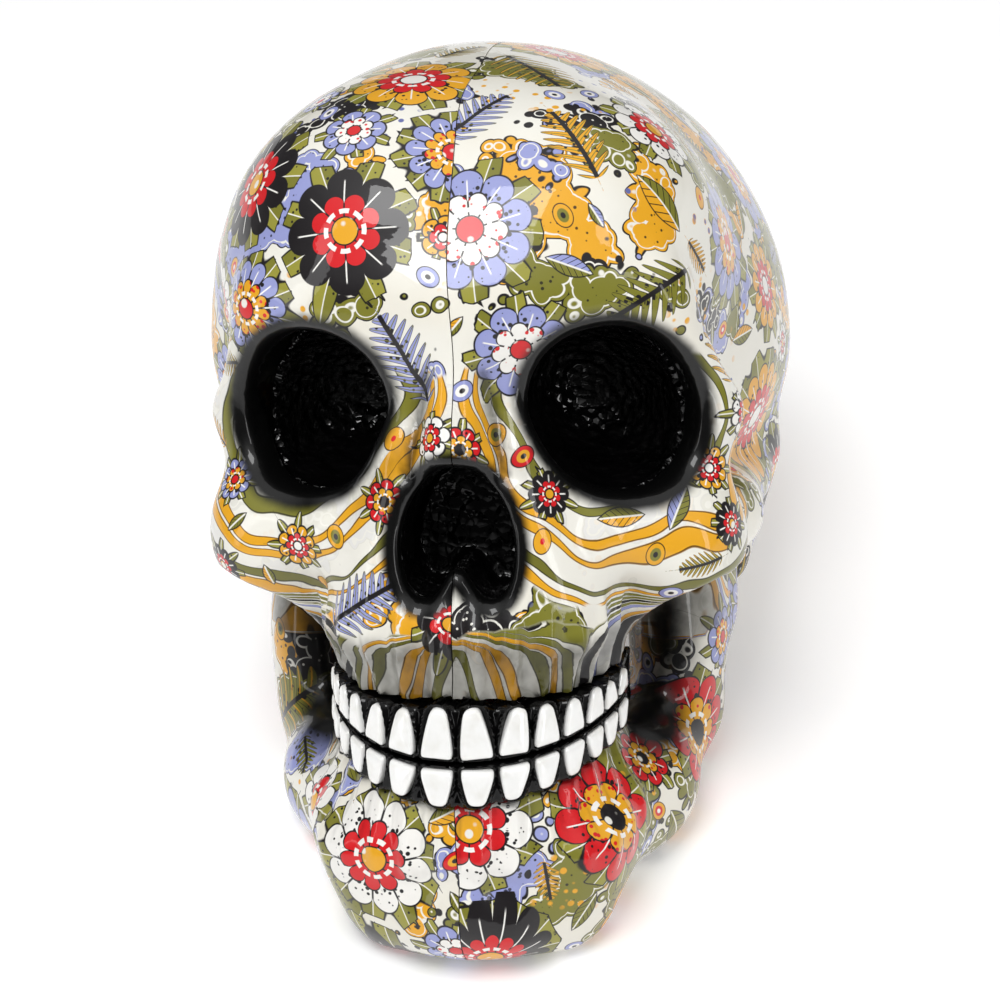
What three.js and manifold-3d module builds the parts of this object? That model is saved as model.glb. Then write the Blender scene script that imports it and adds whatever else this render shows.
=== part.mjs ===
// A life-size decorated skull, cast in resin and leaned back on a table.
// Two half shells are glued along the middle, with a fixed jaw in two halves below them.
// Black cups line the eye sockets and the nose, and black gums hold white teeth.
// A stopper closes the pour hole in the base, and four pads carry the skull.
//
// Lengths are in millimetres. The skull is shaped in its own frame, from the middle of the
// line between the ear holes: x to its left, y to the back and z up. The face looks along -y.
// The landmarks below are on the left side or on the middle, and the right side mirrors them.

import * as THREE from 'three';
import { mergeVertices } from 'three/addons/utils/BufferGeometryUtils.js';
import Module from 'manifold-3d';

// How the skull stands
const LEAN_DEGREES = 27;
const CHIN_FLAT = 2.3;
const OCCIPUT_FLAT = 3;
const PAD_RADIUS = 5;
const PAD_THICKNESS = 1.5;
const FRONT_PAD_X = 13;
const REAR_PAD_X = 11;

// Gaps between pieces
const FIT_GAP = 0.3;
const SEAM_GAP = 0.3;
const JAW_SEAT_GAP = 0.6;

// Landmarks of the braincase and brow
const GLABELLA = [0, -89, 43];
const BROW_END = [40, -80, 45];
const ORBIT_RIM_TOP = [43, -78, 41];
const ORBIT_RIM_SIDE = [51, -66, 18];
const ORBIT_RIM_LOW = [48, -68, -2];
const MASTOID_TOP = [53, 10, 0];
const MASTOID_TIP = [49, 12, -26];

// Landmarks of the cheeks, the upper jaw and the nose bridge
const NOSE_FLANK_TOP = [9, -84, 8];
const NOSE_FLANK_LOW = [20, -84, -28];
const NOSE_ROOT = [0, -88, 34];
const NOSE_TIP = [0, -96, 12];
const CHEEK_INNER = [30, -79, -7];
const CHEEK_OUTER = [46, -70, -9];
const BUTTRESS_TOP = [44, -66, -14];
const BUTTRESS_LOW = [32, -64, -37];
const CHEEK_ARCH_FRONT = [50, -60, -12];
const CHEEK_ARCH_MIDDLE = [57, -38, -11];
const CHEEK_ARCH_BACK = [56, -6, -5];

// Landmarks of the lower jaw
const CHIN_MIDDLE = [0, -81, -89];
const CHIN_CORNER = [15, -75, -88.5];
const CHIN_BUTTON = [0, -89, -88];
const CHIN_BUTTON_SIDE = [8, -87, -91];
const LIP_MIDDLE = [0, -86, -72];
const LIP_SIDE = [20, -79, -72];
const JAW_BODY_FRONT = [19, -70, -85];
const JAW_BODY_BACK = [36.5, -44, -70];
const JAW_ANGLE = [42, -20, -57];
const CONDYLE_NECK = [48.5, -12, -34];
const CONDYLE = [50.5, -9, -11];

// Lumps: egg shapes with their own height below the centre where that differs,
// and the blend that melts each into the rest
const VAULT = { centre: [-5.5, 10, 28], radii: [72.5, 82, 74], lowHeight: 52 };
const FOREHEAD = { centre: [-3, -36, 38], radii: [55, 58, 56], lowHeight: 50, blend: 24 };
const OCCIPUT = { centre: [0, 48, 8], radii: [52, 42, 42], blend: 20 };
const FRONTAL_BOSS = { centre: [22, -60, 58], radii: [26, 27, 24], blend: 22 };
const TEMPLE_HOLLOW = { centre: [82, -50, 20], radii: [24, 26, 32], blend: 14 };
const ORBIT_WALL = { centre: [33, -61, 17], radii: [18.5, 26, 24.5], blend: 6 };
const UPPER_JAW = { centre: [0, -66, -14], radii: [33, 31, 36], blend: 12 };
const CHEEKBONE = { centre: [46, -66, -10], radii: [12.5, 14, 13], blend: 10 };
const CHEEK_WEB = { centre: [44, -34, -6], radii: [16, 28, 8], blend: 6 };
const SKULL_BASE = { centre: [0, 16, -8], radii: [46, 55, 22], blend: 16 };
const RAMUS = { centre: [43.5, -22, -38], radii: [12, 18, 29], blend: 10 };
const BRAIN_HOLLOW = { centre: [-3, 22, 32], radii: [61, 60, 60], lowHeight: 48 };

// Rods between landmarks: the radius at each end and the blend into the rest
const SKULL_RODS = [
  { from: GLABELLA, to: BROW_END, radii: [7, 6], blend: 10 },
  { from: ORBIT_RIM_TOP, to: ORBIT_RIM_SIDE, radii: [6, 5.5], blend: 8 },
  { from: ORBIT_RIM_SIDE, to: ORBIT_RIM_LOW, radii: [5.5, 7], blend: 6 },
  { from: NOSE_FLANK_TOP, to: NOSE_FLANK_LOW, radii: [11, 9], blend: 10 },
  { from: NOSE_ROOT, to: NOSE_TIP, radii: [7, 5], blend: 8 },
  { from: CHEEK_INNER, to: CHEEK_OUTER, radii: [8.5, 9.5], blend: 8 },
  { from: BUTTRESS_TOP, to: BUTTRESS_LOW, radii: [8, 6], blend: 8 },
  { from: CHEEK_ARCH_FRONT, to: CHEEK_ARCH_MIDDLE, radii: [8, 7], blend: 6 },
  { from: CHEEK_ARCH_MIDDLE, to: CHEEK_ARCH_BACK, radii: [7, 7.5], blend: 8 },
  { from: MASTOID_TOP, to: MASTOID_TIP, radii: [11, 8], blend: 10 },
];
const CHIN_RADIUS = 13.5;
const CHIN = { from: CHIN_MIDDLE, to: CHIN_CORNER, radii: [CHIN_RADIUS, CHIN_RADIUS] };
const JAW_RODS = [
  { from: LIP_MIDDLE, to: LIP_SIDE, radii: [10.5, 10.5], blend: 10 },
  { from: CHIN_BUTTON, to: CHIN_BUTTON_SIDE, radii: [7, 6], blend: 9 },
  { from: JAW_BODY_FRONT, to: JAW_BODY_BACK, radii: [13, 11.5], blend: 16 },
  { from: LIP_SIDE, to: JAW_BODY_BACK, radii: [10, 11], blend: 14 },
  { from: JAW_BODY_BACK, to: JAW_ANGLE, radii: [11.5, 9.5], blend: 16 },
  { from: CONDYLE_NECK, to: CONDYLE, radii: [6.5, 6], blend: 8 },
];

// Eye sockets
const SOCKET_CENTRE = [31.1, -77, 19.8];
const SOCKET_RADII = [18.5, 31.5, 18.3];
const SOCKET_SHEAR = 0.14;
const SOCKET_TURN_DEGREES = 20;
const SOCKET_WALL = 2.5;

// Nose opening, as an upside-down heart around its own middle
const NOSE_MIDDLE_Z = -5.5;
const NOSE_HALF_WIDTH = 12.6;
const NOSE_HALF_HEIGHT = 14.5;
const NOSE_NOTCH = 6.5;
const NOSE_FRONT_Y = -110;
const NOSE_BACK_Y = -72;
const NOSE_WALL = 2;

// One side of the heart from its notch to its top, as curve handles and ends in shares of the half sizes
const NOSE_HEART = [
  { leave: [0.15, -0.8], arrive: [0.2, -1], end: [0.5, -1] },
  { leave: [0.85, -1], arrive: [1, -0.6], end: [1, -0.2] },
  { leave: [1, 0.4], arrive: [0.55, 1], end: [0, 1] },
];

// Bite, gums and teeth
const ARCH_HALF_WIDTH = 33;
const ARCH_DEPTH = 44.5;
const ARCH_FRONT_Y = -99.5;
const ARCH_CORE_INSET = 1;
const ARCH_CORE_ROUND = 4;
const UPPER_CORE_HEIGHT = 15;
const UPPER_CORE_BLEND = 8;
const LOWER_CORE_DEPTH = 12;
const LOWER_CORE_BLEND = 6;
const GUM_TOP_Z = -40;
const GUM_LOW_Z = -66;
const GUM_TOP_TILT_DEGREES = 6.5;
const GUM_LOW_TILT_DEGREES = 17;
const GUM_THICKNESS = 7;
const GUM_RELIEF = 8;
const BITE_Z = -54.3;
const BITE_TILT_DEGREES = 15;
const BITE_OVERLAP = 14;
const BITE_CUT_FRONT = 10;
const BITE_CUT_BACK = 10;
const BITE_CUT_SIDE = 8;
const TOOTH_PROUD = 1.5;
const TOOTH_ROOT = 1.6;
const TOOTH_SPACE = 1.6;
const TOOTH_BITE_GAP = 1;
const TOOTH_WIDTHS = [6.8, 6.4, 5.8, 5.6, 5.4, 5.4, 5.2];
const UPPER_TOOTH_HEIGHTS = [11.8, 10.5, 10, 7.8, 7.2, 6.2, 5];
const LOWER_TOOTH_HEIGHTS = [7.8, 7.8, 7.4, 7.2, 6.6, 6.2, 5.8];
const TOOTH_TIP_SHARE = 0.26;
const TOOTH_SHOULDER_SHARE = 0.76;
const TOOTH_CURVE_SHARE = 0.64;
const TOOTH_FLAT_SHARE = 0.3;

// Pour hole and its stopper
const HOLE_Y = 12;
const HOLE_RADIUS = 11;
const STOPPER_SEAT_DEPTH = 3;
const STOPPER_LENGTH = 10;
const STOPPER_TAPER = 0.6;
const STOPPER_LIP_WIDTH = 3;
const STOPPER_LIP_THICKNESS = 3;
const STOPPER_GRIP_RADIUS = 4;
const STOPPER_GRIP_LENGTH = 3;

// Grid on which the castings are skinned: fine at the face, coarse at the back and the crown
const GRID_FINE = 6.8;
const GRID_COARSE = 11;
const GRID_MARGIN = 8;
const FACE_BACK_Y = -46;
const FACE_TOP_Z = 50;
const SLOPE_STEP = 0.2;
const SETTLE_ROUNDS = 3;
const SETTLE_REACH = 1.1;

// Steps of the round shapes
const ARC_STEPS = 24;
const ARC_SAMPLES = 720;
const BOWL_STEPS = 20;
const ROUND_STEPS = 24;
const NOSE_CURVE_STEPS = 5;
const TOOTH_CURVE_STEPS = 3;

// Farther than any point of the skull
const FAR = 200;

const SIDES = [
  { name: 'left', sign: 1 },
  { name: 'right', sign: -1 },
];

const wasm = await Module();
wasm.setup();

// Solids and geometry

function solidOf(geometry) {
  const bare = geometry.clone();
  bare.deleteAttribute('normal');
  bare.deleteAttribute('uv');
  const merged = mergeVertices(bare, 1e-4);
  const vertProperties = new Float32Array(merged.attributes.position.array);
  const triVerts = new Uint32Array(merged.index.array);
  return new wasm.Manifold(new wasm.Mesh({ numProp: 3, vertProperties, triVerts }));
}

function geometryOf(solid) {
  const mesh = solid.getMesh();
  const geometry = new THREE.BufferGeometry();
  geometry.setAttribute('position', new THREE.BufferAttribute(mesh.vertProperties, 3));
  geometry.setIndex(new THREE.BufferAttribute(mesh.triVerts, 1));
  geometry.computeVertexNormals();
  return geometry;
}

function joined(solids) {
  return solids.reduce((whole, solid) => whole.add(solid));
}

// Copies of a solid, moved a little each way, whose union is the room that it needs
function roomAround(solid, gap) {
  return [0, 1, 2].flatMap((axis) => [-gap, gap].map((way) => {
    const shift = [0, 0, 0];
    shift[axis] = way;
    return solid.translate(shift);
  }));
}

function boxSolid(low, high) {
  const size = high.map((value, axis) => value - low[axis]);
  const geometry = new THREE.BoxGeometry(...size);
  geometry.translate(...low.map((value, axis) => value + size[axis] / 2));
  return solidOf(geometry);
}

// The table: the skull leans back until the chin and the occiput both reach the pads

const leanAngle = THREE.MathUtils.degToRad(LEAN_DEGREES);
const lean = new THREE.Matrix4().makeRotationX(-leanAngle);
const padTop = PAD_THICKNESS + FIT_GAP;
const chinPlace = new THREE.Vector3(...CHIN_MIDDLE).applyMatrix4(lean);
const earHeight = padTop + CHIN_RADIUS - CHIN_FLAT - chinPlace.z;
const toTable = new THREE.Matrix4().makeTranslation(0, 0, earHeight).multiply(lean);
const fromTable = toTable.clone().invert();

// The occiput is set as high as its flat on the rear pads asks
const [, occiputDepth, occiputHeight] = OCCIPUT.radii;
const occiputReach = Math.hypot(occiputDepth * Math.sin(leanAngle), occiputHeight * Math.cos(leanAngle));
const occiputDrop = padTop - OCCIPUT_FLAT + occiputReach - earHeight;
const occiputZ = (occiputDrop + OCCIPUT.centre[1] * Math.sin(leanAngle)) / Math.cos(leanAngle);
const occiput = { ...OCCIPUT, centre: [OCCIPUT.centre[0], OCCIPUT.centre[1], occiputZ] };
const rearPlace = new THREE.Vector3(...occiput.centre).applyMatrix4(lean);

// Distance fields: negative inside, positive outside

function smoothMin(a, b, blend) {
  const mix = Math.max(blend - Math.abs(a - b), 0) / blend;
  return Math.min(a, b) - (mix * mix * blend) / 4;
}

function smoothMax(a, b, blend) {
  return -smoothMin(-a, -b, blend);
}

function ellipsoid(point, { centre, radii, lowHeight }) {
  let level = 0;
  let slope = 0;
  for (let axis = 0; axis < 3; axis += 1) {
    const offset = point[axis] - centre[axis];
    const low = axis === 2 && lowHeight && offset < 0;
    const radius = low ? lowHeight : radii[axis];
    level += (offset / radius) ** 2;
    slope += (offset / radius ** 2) ** 2;
  }
  const distance = Math.sqrt(level);
  return (distance * (distance - 1)) / Math.max(Math.sqrt(slope), 1e-6);
}

function rod(point, { from, to, radii }) {
  let along = 0;
  let length = 0;
  for (let axis = 0; axis < 3; axis += 1) {
    along += (point[axis] - from[axis]) * (to[axis] - from[axis]);
    length += (to[axis] - from[axis]) ** 2;
  }
  const share = Math.min(Math.max(along / length, 0), 1);
  let gap = 0;
  for (let axis = 0; axis < 3; axis += 1) {
    gap += (point[axis] - from[axis] - share * (to[axis] - from[axis])) ** 2;
  }
  return Math.sqrt(gap) - radii[0] - (radii[1] - radii[0]) * share;
}

function withLump(field, point, lump) {
  return smoothMin(field, ellipsoid(point, lump), lump.blend);
}

function withRods(field, point, rods) {
  return rods.reduce((sum, limb) => smoothMin(sum, rod(point, limb), limb.blend), field);
}

// The core of the dental arch, a little inside the face of the gums, and its lowest and highest z
const UPPER_CORE_SPAN = [BITE_Z - BITE_OVERLAP, GUM_TOP_Z + UPPER_CORE_HEIGHT];
const LOWER_CORE_SPAN = [GUM_LOW_Z - LOWER_CORE_DEPTH, BITE_Z + BITE_OVERLAP];

function archCore(point, low, high) {
  const across = point[0] / (ARCH_HALF_WIDTH - ARCH_CORE_INSET);
  const centreY = ARCH_FRONT_Y + ARCH_DEPTH;
  const forward = Math.min(point[1] - centreY, 0) / (ARCH_DEPTH - ARCH_CORE_INSET);
  const wall = (Math.hypot(across, forward) - 1) * ARCH_HALF_WIDTH;
  const back = point[1] - centreY;
  const height = Math.max(point[2] - high, low - point[2]);
  return smoothMax(Math.max(wall, back), height, ARCH_CORE_ROUND);
}

function mirrored(point) {
  return [Math.abs(point[0]), point[1], point[2]];
}

function skullField(point) {
  const side = mirrored(point);
  let field = ellipsoid(point, VAULT);
  field = withLump(field, point, FOREHEAD);
  field = withLump(field, side, occiput);
  field = withLump(field, side, FRONTAL_BOSS);
  field = smoothMax(field, -ellipsoid(side, TEMPLE_HOLLOW), TEMPLE_HOLLOW.blend);
  field = withLump(field, side, ORBIT_WALL);
  field = withLump(field, side, UPPER_JAW);
  field = withRods(field, side, SKULL_RODS);
  field = withLump(field, side, CHEEKBONE);
  field = withLump(field, side, CHEEK_WEB);
  field = withLump(field, side, SKULL_BASE);
  return smoothMin(field, archCore(side, ...UPPER_CORE_SPAN), UPPER_CORE_BLEND);
}

function jawField(point) {
  const side = mirrored(point);
  let field = withRods(rod(side, CHIN), side, JAW_RODS);
  field = withLump(field, side, RAMUS);
  return smoothMin(field, archCore(side, ...LOWER_CORE_SPAN), LOWER_CORE_BLEND);
}

// A closed skin around a field, with one vertex for each sheet of surface in a grid cell

// The box around lumps, rods and the dental arch, on both sides, with room for their blends
function boundsOf(lumps, rods, archSpan) {
  const box = new THREE.Box3();
  for (const { centre, radii } of lumps) {
    const half = new THREE.Vector3(...radii);
    box.expandByPoint(new THREE.Vector3(...centre).add(half));
    box.expandByPoint(new THREE.Vector3(...centre).sub(half));
  }
  for (const { from, to, radii } of rods) {
    [from, to].forEach((end, index) => {
      const sphere = new THREE.Sphere(new THREE.Vector3(...end), radii[index]);
      box.union(sphere.getBoundingBox(new THREE.Box3()));
    });
  }
  for (const height of archSpan) {
    box.expandByPoint(new THREE.Vector3(ARCH_HALF_WIDTH, ARCH_FRONT_Y, height));
  }
  const halfWidth = Math.max(-box.min.x, box.max.x);
  box.min.x = -halfWidth;
  box.max.x = halfWidth;
  return box.expandByScalar(GRID_MARGIN);
}

function gridLine(low, high, fineEnd) {
  const line = [low];
  while (line[line.length - 1] < high) {
    const last = line[line.length - 1];
    line.push(last + (last < fineEnd ? GRID_FINE : GRID_COARSE));
  }
  return line;
}

function gridLines({ min, max }, fineBackY, fineTopZ) {
  return [
    gridLine(min.x, max.x, max.x),
    gridLine(min.y, max.y, fineBackY),
    gridLine(min.z, max.z, fineTopZ),
  ];
}

const CELL_EDGES = [];
const EDGE_AT = new Map();
for (let axis = 0; axis < 3; axis += 1) {
  for (let corner = 0; corner < 8; corner += 1) {
    const step = 1 << axis;
    if ((corner & step) === 0) {
      EDGE_AT.set(`${corner},${corner | step}`, CELL_EDGES.length);
      EDGE_AT.set(`${corner | step},${corner}`, CELL_EDGES.length);
      CELL_EDGES.push([corner, corner | step]);
    }
  }
}

const CELL_FACES = [];
for (let axis = 0; axis < 3; axis += 1) {
  const across = 1 << ((axis + 1) % 3);
  const up = 1 << ((axis + 2) % 3);
  for (const base of [0, 1 << axis]) {
    CELL_FACES.push([base, base | across, base | across | up, base | up]);
  }
}

// Which crossed edges of a cell belong to one sheet of surface
function sheetsOf(inside) {
  const group = CELL_EDGES.map((edge, index) => index);
  const rootOf = (index) => (group[index] === index ? index : rootOf(group[index]));
  const link = (a, b) => {
    group[rootOf(a)] = rootOf(b);
  };
  for (const face of CELL_FACES) {
    const edges = face.map((corner, turn) => EDGE_AT.get(`${corner},${face[(turn + 1) % 4]}`));
    const crossed = edges.filter((edge) => inside[CELL_EDGES[edge][0]] !== inside[CELL_EDGES[edge][1]]);
    if (crossed.length === 2) {
      link(crossed[0], crossed[1]);
    }
    if (crossed.length === 4) {
      face.forEach((corner, turn) => {
        if (inside[corner]) {
          link(edges[turn], edges[(turn + 3) % 4]);
        }
      });
    }
  }
  return CELL_EDGES.map((edge, index) => rootOf(index));
}

// Moves a point onto the surface along the field's slope
function settle(point, field) {
  let place = point;
  for (let round = 0; round < SETTLE_ROUNDS; round += 1) {
    const level = field(place);
    const slope = [0, 1, 2].map((axis) => {
      const ahead = [...place];
      ahead[axis] += SLOPE_STEP;
      return (field(ahead) - level) / SLOPE_STEP;
    });
    const steep = slope.reduce((sum, value) => sum + value * value, 1e-9);
    const move = THREE.MathUtils.clamp(level / steep, -SETTLE_REACH, SETTLE_REACH);
    place = place.map((value, axis) => value - move * slope[axis]);
  }
  return place;
}

function skin(field, lines) {
  const counts = lines.map((line) => line.length);
  const strides = [1, counts[0], counts[0] * counts[1]];
  const levels = new Float64Array(counts[0] * counts[1] * counts[2]);
  const place = (cell) => cell.map((index, axis) => lines[axis][index]);
  const spot = (cell) => cell.reduce((sum, index, axis) => sum + index * strides[axis], 0);
  const everyCell = (visit, margin) => {
    for (let k = 0; k < counts[2] - margin; k += 1) {
      for (let j = 0; j < counts[1] - margin; j += 1) {
        for (let i = 0; i < counts[0] - margin; i += 1) {
          visit([i, j, k]);
        }
      }
    }
  };
  everyCell((cell) => {
    levels[spot(cell)] = field(place(cell));
  }, 0);

  const positions = [];
  const vertexAt = new Map();
  const cornerOf = (cell, corner) => cell.map((index, axis) => index + ((corner >> axis) & 1));
  everyCell((cell) => {
    const corners = [0, 1, 2, 3, 4, 5, 6, 7].map((corner) => cornerOf(cell, corner));
    const cornerLevels = corners.map((corner) => levels[spot(corner)]);
    const inside = cornerLevels.map((level) => level < 0);
    const filled = inside.filter(Boolean).length;
    if (filled === 0 || filled === 8) {
      return;
    }
    const sheets = sheetsOf(inside);
    const sums = new Map();
    CELL_EDGES.forEach(([from, to], edge) => {
      if (inside[from] === inside[to]) {
        return;
      }
      const share = cornerLevels[from] / (cornerLevels[from] - cornerLevels[to]);
      const start = place(corners[from]);
      const end = place(corners[to]);
      const sum = sums.get(sheets[edge]) ?? { total: [0, 0, 0], edges: [] };
      sum.total = sum.total.map((value, axis) => value + start[axis] + share * (end[axis] - start[axis]));
      sum.edges.push(edge);
      sums.set(sheets[edge], sum);
    });
    for (const { total, edges } of sums.values()) {
      const middle = total.map((value) => value / edges.length);
      edges.forEach((edge) => vertexAt.set(spot(cell) * CELL_EDGES.length + edge, positions.length / 3));
      positions.push(...settle(middle, field));
    }
  }, 1);

  const triangles = [];
  const apart = (a, b) => {
    const offsets = [0, 1, 2].map((axis) => positions[3 * a + axis] - positions[3 * b + axis]);
    return Math.hypot(...offsets);
  };
  everyCell((cell) => {
    for (let axis = 0; axis < 3; axis += 1) {
      const next = cell.map((index, other) => index + (other === axis ? 1 : 0));
      const across = (axis + 1) % 3;
      const up = (axis + 2) % 3;
      const inRange = next[axis] < counts[axis] && cell[across] > 0 && cell[up] > 0;
      const crossed = inRange && levels[spot(cell)] < 0 !== levels[spot(next)] < 0;
      if (!crossed) {
        continue;
      }
      const ring = [[0, 0], [1, 0], [1, 1], [0, 1]].map(([back, down]) => {
        const origin = [...cell];
        origin[across] -= back;
        origin[up] -= down;
        const corner = (back << across) | (down << up);
        const edge = EDGE_AT.get(`${corner},${corner | (1 << axis)}`);
        return vertexAt.get(spot(origin) * CELL_EDGES.length + edge);
      });
      const [a, b, c, d] = levels[spot(cell)] < 0 ? ring : ring.reverse();
      if (apart(a, c) < apart(b, d)) {
        triangles.push(a, b, c, a, c, d);
      } else {
        triangles.push(a, b, d, b, c, d);
      }
    }
  }, 0);

  const geometry = new THREE.BufferGeometry();
  geometry.setAttribute('position', new THREE.Float32BufferAttribute(positions, 3));
  geometry.setIndex(triangles);
  return solidOf(geometry);
}

// A flat cut under the castings leaves room for the pads and their glue
function belowBase() {
  const geometry = new THREE.BoxGeometry(2 * FAR, 2 * FAR, FAR);
  geometry.translate(0, 0, padTop - FAR / 2);
  geometry.applyMatrix4(fromTable);
  return solidOf(geometry);
}

// Eye sockets: nested bowls, turned outwards and sheared so that the lower side lies further out

function socketBowl(sign, grow) {
  const geometry = new THREE.SphereGeometry(1, BOWL_STEPS, BOWL_STEPS / 2);
  geometry.scale(...SOCKET_RADII.map((radius) => radius + grow));
  const shear = new THREE.Matrix4().makeShear(0, 0, 0, 0, -SOCKET_SHEAR, 0);
  geometry.applyMatrix4(shear);
  geometry.rotateZ(THREE.MathUtils.degToRad(SOCKET_TURN_DEGREES));
  geometry.translate(...SOCKET_CENTRE);
  const solid = solidOf(geometry);
  return sign > 0 ? solid : solid.mirror([1, 0, 0]);
}

// Nose: an upside-down heart that runs straight back into the face

function noseOutline(grow) {
  const wide = NOSE_HALF_WIDTH + grow;
  const tall = NOSE_HALF_HEIGHT + grow;
  const notch = [0, NOSE_NOTCH / tall - 1];
  const curve = (side, ...shares) => shares.flatMap(([x, z]) => [side * x * wide, z * tall]);
  const shape = new THREE.Shape();
  shape.moveTo(...curve(1, notch));
  for (const { leave, arrive, end } of NOSE_HEART) {
    shape.bezierCurveTo(...curve(1, leave, arrive, end));
  }
  NOSE_HEART.toReversed().forEach(({ leave, arrive }, index) => {
    const end = NOSE_HEART[NOSE_HEART.length - 2 - index]?.end ?? notch;
    shape.bezierCurveTo(...curve(-1, arrive, leave, end));
  });
  return shape;
}

function noseTunnel(grow, backY) {
  const depth = backY - NOSE_FRONT_Y;
  const options = { depth, bevelEnabled: false, curveSegments: NOSE_CURVE_STEPS };
  const geometry = new THREE.ExtrudeGeometry(noseOutline(grow), options);
  geometry.rotateX(Math.PI / 2);
  geometry.translate(0, backY, NOSE_MIDDLE_Z);
  return solidOf(geometry);
}

// Dental arch: half an ellipse, grown outwards or inwards

const gumTopRise = Math.tan(THREE.MathUtils.degToRad(GUM_TOP_TILT_DEGREES));
const gumLowRise = Math.tan(THREE.MathUtils.degToRad(GUM_LOW_TILT_DEGREES));

function archPoint(turn, grow) {
  const centreY = ARCH_FRONT_Y + ARCH_DEPTH;
  const x = (ARCH_HALF_WIDTH + grow) * Math.sin(turn);
  const y = centreY - (ARCH_DEPTH + grow) * Math.cos(turn);
  return new THREE.Vector2(x, y);
}

function archRow(grow) {
  return Array.from({ length: ARC_STEPS + 1 }, (unused, step) => {
    const turn = Math.PI * (step / ARC_STEPS - 0.5);
    return archPoint(turn, grow);
  });
}

// A band around the arch between the lower and upper edges of the gums, spread up and down
function archBand(outerGrow, innerGrow, spread, tail) {
  const outline = new THREE.Shape();
  const outer = archRow(outerGrow);
  const inner = archRow(innerGrow).reverse();
  const endY = ARCH_FRONT_Y + ARCH_DEPTH + tail;
  const outerEnd = outer[ARC_STEPS].x;
  const innerEnd = inner[0].x;
  outline.setFromPoints(outer);
  if (tail > 0) {
    outline.lineTo(outerEnd, endY);
    outline.lineTo(innerEnd, endY);
  }
  inner.forEach((point) => outline.lineTo(point.x, point.y));
  if (tail > 0) {
    outline.lineTo(-innerEnd, endY);
    outline.lineTo(-outerEnd, endY);
  }
  const geometry = new THREE.ExtrudeGeometry(outline, { depth: 1, bevelEnabled: false });
  const place = geometry.attributes.position;
  for (let index = 0; index < place.count; index += 1) {
    const back = place.getY(index) - ARCH_FRONT_Y;
    const low = GUM_LOW_Z + gumLowRise * back - spread;
    const high = GUM_TOP_Z + gumTopRise * back + spread;
    place.setZ(index, place.getZ(index) > 0.5 ? high : low);
  }
  return solidOf(geometry);
}

// The bite plane rises to the back: what is made on a level bite is sheared up onto it
const biteRise = Math.tan(THREE.MathUtils.degToRad(BITE_TILT_DEGREES));
const ontoBite = new THREE.Matrix4()
  .makeShear(0, 0, 0, biteRise, 0, 0)
  .setPosition(0, 0, BITE_Z - biteRise * ARCH_FRONT_Y);

// Everything on one side of the bite plane, in front of the jaw's upright branches
function biteBlock(above, clearance) {
  const width = 2 * (ARCH_HALF_WIDTH + BITE_CUT_SIDE);
  const depth = BITE_CUT_FRONT + ARCH_DEPTH + BITE_CUT_BACK;
  const middle = FAR / 2 + clearance;
  const geometry = new THREE.BoxGeometry(width, depth, FAR);
  geometry.translate(0, ARCH_FRONT_Y - BITE_CUT_FRONT + depth / 2, above ? middle : -middle);
  geometry.applyMatrix4(ontoBite);
  return solidOf(geometry);
}

// Teeth: shields with a straight biting edge and a rounded root end

function toothPlaces() {
  const places = [];
  let walked = 0;
  let last = archPoint(0, 0);
  for (let step = 1; step <= ARC_SAMPLES && places.length < TOOTH_WIDTHS.length; step += 1) {
    const point = archPoint((Math.PI / 2) * (step / ARC_SAMPLES), 0);
    const ahead = point.clone().sub(last);
    walked += ahead.length();
    last = point;
    const before = TOOTH_WIDTHS.slice(0, places.length).reduce((sum, width) => sum + width + TOOTH_SPACE, 0);
    if (walked >= before + (TOOTH_WIDTHS[places.length] + TOOTH_SPACE) / 2) {
      places.push({ x: point.x, y: point.y, heading: ahead.angle() });
    }
  }
  return places;
}

function toothShape(width, height, grow) {
  const half = width / 2 + grow;
  const top = height + grow;
  const shoulder = height * (1 - TOOTH_TIP_SHARE);
  const shoulderHalf = half * TOOTH_SHOULDER_SHARE;
  const curveHalf = half * TOOTH_CURVE_SHARE;
  const tipHalf = half * TOOTH_FLAT_SHARE;
  const shape = new THREE.Shape();
  shape.moveTo(-half, -grow);
  shape.lineTo(half, -grow);
  shape.lineTo(shoulderHalf, shoulder);
  shape.quadraticCurveTo(curveHalf, top, tipHalf, top);
  shape.lineTo(-tipHalf, top);
  shape.quadraticCurveTo(-curveHalf, top, -shoulderHalf, shoulder);
  shape.closePath();
  return shape;
}

function toothGeometry(place, sign, upper, width, height, grow) {
  const depth = TOOTH_PROUD + TOOTH_ROOT + grow;
  const options = { depth, bevelEnabled: false, curveSegments: TOOTH_CURVE_STEPS };
  const geometry = new THREE.ExtrudeGeometry(toothShape(width, height, grow), options);
  geometry.translate(0, 0, -depth + TOOTH_PROUD);
  geometry.rotateX(Math.PI / 2);
  if (!upper) {
    geometry.rotateY(Math.PI);
  }
  geometry.rotateZ(sign * place.heading);
  geometry.translate(sign * place.x, place.y, upper ? TOOTH_BITE_GAP : -TOOTH_BITE_GAP);
  geometry.applyMatrix4(ontoBite);
  return geometry;
}

function teeth() {
  const places = toothPlaces();
  const rows = [
    { row: 'upper', upper: true, heights: UPPER_TOOTH_HEIGHTS },
    { row: 'lower', upper: false, heights: LOWER_TOOTH_HEIGHTS },
  ];
  return rows.flatMap(({ row, upper, heights }) => SIDES.flatMap(({ name, sign }) => (
    places.map((place, index) => ({
      name: `${row}_${name}_tooth_${index + 1}`,
      upper,
      solid: solidOf(toothGeometry(place, sign, upper, TOOTH_WIDTHS[index], heights[index], 0)),
      pocket: solidOf(toothGeometry(place, sign, upper, TOOTH_WIDTHS[index], heights[index], FIT_GAP)),
    }))
  )));
}

// Stopper: a tapered plug with a lip and a short grip, along the skull's own z

const stopperSeatZ = SKULL_BASE.centre[2] - SKULL_BASE.radii[2] + STOPPER_SEAT_DEPTH;

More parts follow.
